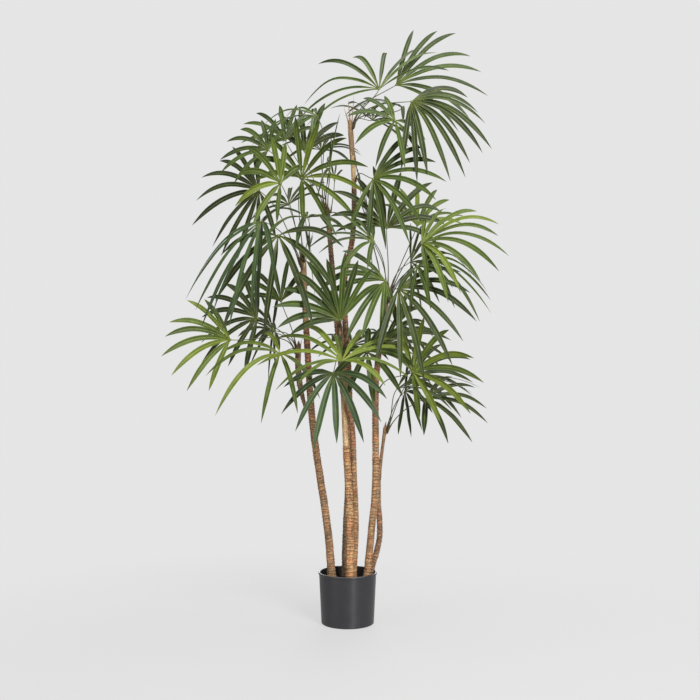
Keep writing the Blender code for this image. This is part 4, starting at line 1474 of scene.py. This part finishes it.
def stalk_material():
    """Coated wire: brown at the foot, green along its length, pale at the hub."""
    material, tree, place = start_material("stalk_wire")
    lines = strap_lines(tree, Lines=6.0, Sharpness=2.0)
    shades = node(tree, "ValToRGB", {"Fac": lines["Along"]})["Color"]
    stops = shades.node.color_ramp.elements
    for at, _ in STALK_SHADES[1:-1]:
        stops.new(at)
    for stop, (at, shade) in zip(stops, STALK_SHADES):
        stop.position = at
        stop.color = (*shade, 1.0)
    stain = patches(tree, place, Scale=90.0, Low=0.0, High=0.5)
    colour = mixed(tree, stain, shades, STALK_STAIN)
    return finish(material, colour, 0.48, (lines["Mask"], 0.3, 0.0002))


def sheath_material():
    """Dry leaf sheath: brown fibre with pale streaks along it."""
    material, tree, _ = start_material("leaf_sheath")
    fibre = strap_lines(tree, Detail=3.0)["Fibre"]
    streaks = ranged(tree, fibre, STREAK_SPAN, (0.0, 1.0))
    colour = mixed(tree, streaks, SHEATH_BROWN, SHEATH_STREAK)
    return finish(material, colour, 0.72, (fibre, 0.6, 0.0005))


def bark_material():
    """Bark: its own zone colours, speckled with pale scurf and dark cracks."""
    material, tree, place = start_material("palm_bark")
    own = node(tree, "VertexColor", layer_name=BARK_LAYER)["Color"]
    squash = node(tree, "Mapping", {"Vector": place, "Scale": BARK_SQUASH})[0]
    scurf = patches(tree, squash, Scale=300.0, Detail=4.0, Low=-0.45, High=0.8)
    cracks = patches(tree, squash, Scale=260.0, Detail=5.0, Low=-0.5, High=0.8)
    colour = mixed(tree, maths(tree, "MAXIMUM", scurf, 0.0), own, SCURF)
    colour = mixed(tree, maths(tree, "MAXIMUM", cracks, 0.0), colour, CRACK)
    rough = ranged(tree, cracks, (0.0, 1.0), BARK_ROUGH)
    return finish(material, colour, rough, (cracks, 0.5, 0.0005))


def pot_material():
    """Moulded plastic: fine grain, faint scuffs, dust near the foot and painted shade in its
    hollow.
    """
    material, tree, place = start_material("pot_plastic")
    scuffs = patches(tree, place, Scale=26.0, Detail=6.0, Low=SCUFFS[0], High=SCUFFS[1])
    height = node(tree, "SeparateXYZ", {0: place})["Z"]
    low = ranged(tree, height, *DUST_RISE)
    dust = maths(tree, "MULTIPLY", maths(tree, "ADD", scuffs, low), DUST_CLEAR, clamp=True)
    colour = mixed(tree, dust, bpy.context.scene.palm_colours.pot, DUST)
    flat = node(tree, "VectorMath", {0: place, 1: (1.0, 1.0, 0.0)}, operation="MULTIPLY")[0]
    radius = node(tree, "VectorMath", {0: flat}, operation="LENGTH")["Value"]
    slope = (inner_radius(POT_HEIGHT) - inner_radius(0.0)) / POT_HEIGHT
    reach = maths(tree, "SUBTRACT", radius, maths(tree, "MULTIPLY", height, slope))
    # Painted shade: the pot's inner face is coloured near black where shadow falls in the hollow
    inside_shade = maths(tree, "LESS_THAN", reach, inner_radius(0.0) + INSIDE_SHADE_SHARE * POT_WALL)
    colour = mixed(tree, inside_shade, colour, POT_INSIDE_SHADE)
    rough = ranged(tree, scuffs, SCUFFS, POT_ROUGH)
    grain = patches(tree, place, Scale=1400.0, Detail=2.0)
    return finish(
        material, colour, rough, (grain, 0.06, 0.0002), Anisotropic=0.8,
        Anisotropic_Rotation=0.25, Sheen_Weight=0.12, Sheen_Roughness=0.35,
    )


def cement_material():
    """Painted cement: nearly black, with grit showing through."""
    material, tree, place = start_material("fill_cement")
    grit = patches(tree, place, Scale=310.0, Detail=5.0, Low=-0.6, High=0.6)
    paint = bpy.context.scene.palm_colours.cement
    colour = mixed(tree, maths(tree, "MAXIMUM", grit, 0.0), paint, GRIT)
    return finish(material, colour, 0.93, (grit, 0.7, 0.0008))


# Stage

FLOOR_SEGMENTS = 128
FLOOR_SHADES = ((0.142, 0.142, 0.142), (0.148, 0.148, 0.148))
FLOOR_GLOW = (0.25, 0.566)
# The clear part of the floor is centred in front of the pot, and fades out by its rim
FADE_OFFSET = (0.0, 0.35, 0.0)
FADE_FROM = 0.55
FADE_TO = 0.80
CAMERA_ASIDE = 0.007
SENSOR_WIDTH = 36.0

# Each softbox: name, place, aim, side lengths and power
Softbox = namedtuple("Softbox", "name place aim width height power")
SOFTBOXES = (
    Softbox("key_softbox", (1.6, -3.0, 3.1), (0.0, 0.0, 0.9), 1.5, 1.5, 135.0),
    Softbox("fill_softbox", (-3.0, -2.4, 1.9), (0.0, 0.0, 0.9), 2.0, 2.6, 38.0),
    Softbox("top_softbox", (0.2, 0.3, 4.0), (0.0, 0.0, 0.0), 2.2, 2.2, 50.0),
    Softbox("front_strip", (1.45, -3.2, 0.9), (0.0, 0.0, 0.3), 0.30, 1.8, 45.0),
    Softbox("rear_softbox", (0.6, 3.6, 1.7), (0.0, 0.0, 1.0), 2.4, 2.0, 70.0),
)


def camera_sees(tree, elsewhere, seen):
    """One value where the camera looks straight at a surface, and another elsewhere."""
    ray = node(tree, "LightPath")["Is Camera Ray"]
    return ranged(tree, ray, (0.0, 1.0), (elsewhere, seen))


def floor_material(radius):
    """Pale floor with a glow of its own, which fades into the backdrop towards its rim."""
    material, tree, place = start_material("studio_floor")
    cloud = patches(tree, place, Scale=1.5, Detail=2.0, Low=0.0, High=1.0)
    colour = mixed(tree, cloud, *FLOOR_SHADES)
    forward = node(tree, "VectorMath", {0: place, 1: FADE_OFFSET}, operation="ADD")[0]
    length = node(tree, "VectorMath", {0: forward}, operation="LENGTH")["Value"]
    fade = ranged(
        tree, length, (FADE_FROM, radius * FADE_TO), (1.0, 0.0), interpolation_type="SMOOTHSTEP"
    )
    return finish(
        material, colour, 0.95, Specular_IOR_Level=0.1, Emission_Color=WHITE,
        Emission_Strength=camera_sees(tree, *FLOOR_GLOW), Alpha=fade,
    )


def hang_softbox(box):
    """Hangs one soft light and turns it to what it lights."""
    light = bpy.data.lights.new(box.name, "AREA")
    light.shape = "RECTANGLE"
    light.size = box.width
    light.size_y = box.height
    light.energy = box.power
    lamp = put(box.name, light)
    lamp.location = box.place
    aim = Vector(box.aim) - Vector(box.place)
    lamp.rotation_euler = aim.to_track_quat("-Z", "Y").to_euler()
    lamp.visible_camera = False


class SetStage(bpy.types.Operator):
    """Sets the camera, the plain floor, the backdrop and the soft lights"""

    bl_idname = "palm.set_stage"
    bl_label = "Stage"

    def execute(self, context):
        scene = context.scene
        stage = scene.palm_stage
        bm = bmesh.new()
        bmesh.ops.create_circle(
            bm, cap_ends=True, segments=FLOOR_SEGMENTS, radius=stage.floor_radius
        )
        mesh = bpy.data.meshes.new("floor")
        bm.to_mesh(mesh)
        bm.free()
        mesh.materials.append(floor_material(stage.floor_radius))
        put("floor", mesh)
        for box in SOFTBOXES:
            hang_softbox(box)
        lens = bpy.data.cameras.new("camera")
        lens.lens = stage.lens
        lens.sensor_width = SENSOR_WIDTH
        camera = put("camera", lens)
        camera.location = (CAMERA_ASIDE, -stage.camera_distance, stage.camera_height)
        camera.rotation_euler = (math.radians(90), 0.0, 0.0)
        scene.camera = camera
        world = bpy.data.worlds.new("backdrop")
        world.use_nodes = True
        scene.world = world
        tree = world.node_tree
        strength = camera_sees(tree, stage.ambient, stage.backdrop)
        feed_node(tree, tree.nodes["Background"], {"Color": WHITE, "Strength": strength})
        scene.view_settings.view_transform = "Standard"
        scene.view_settings.look = "None"
        return {"FINISHED"}


STEPS = (DressPot, DressFill, DressStems, DressSheaths, DressStalks, DressLeaves, SetStage)
SETTINGS = {"palm_sizes": PalmSizes, "palm_colours": PalmColours, "palm_stage": StageSettings}


class PalmPanel(bpy.types.Panel):
    """Lists the pieces of the palm and its stage"""

    bl_idname = "VIEW3D_PT_lady_palm"
    bl_label = "Lady palm"
    bl_space_type = "VIEW_3D"
    bl_region_type = "UI"
    bl_category = "Lady palm"

    def draw(self, context):
        for step in STEPS:
            self.layout.operator(step.bl_idname)
        for name, kind in SETTINGS.items():
            box = self.layout.box()
            for field in kind.__annotations__:
                box.prop(getattr(context.scene, name), field)


CLASSES = (*SETTINGS.values(), *STEPS, PalmPanel)


def register():
    for kind in CLASSES:
        bpy.utils.register_class(kind)
    for name, kind in SETTINGS.items():
        setattr(bpy.types.Scene, name, PointerProperty(type=kind))


def unregister():
    for name in SETTINGS:
        delattr(bpy.types.Scene, name)
    for kind in reversed(CLASSES):
        bpy.utils.unregister_class(kind)


def main():
    """Builds the palm and its stage piece by piece."""
    register()
    bpy.ops.palm.dress_pot()
    bpy.ops.palm.dress_fill()
    bpy.ops.palm.dress_stems()
    bpy.ops.palm.dress_sheaths()
    bpy.ops.palm.dress_stalks()
    bpy.ops.palm.dress_leaves()
    bpy.ops.palm.set_stage()


if __name__ == "__main__":
    main()
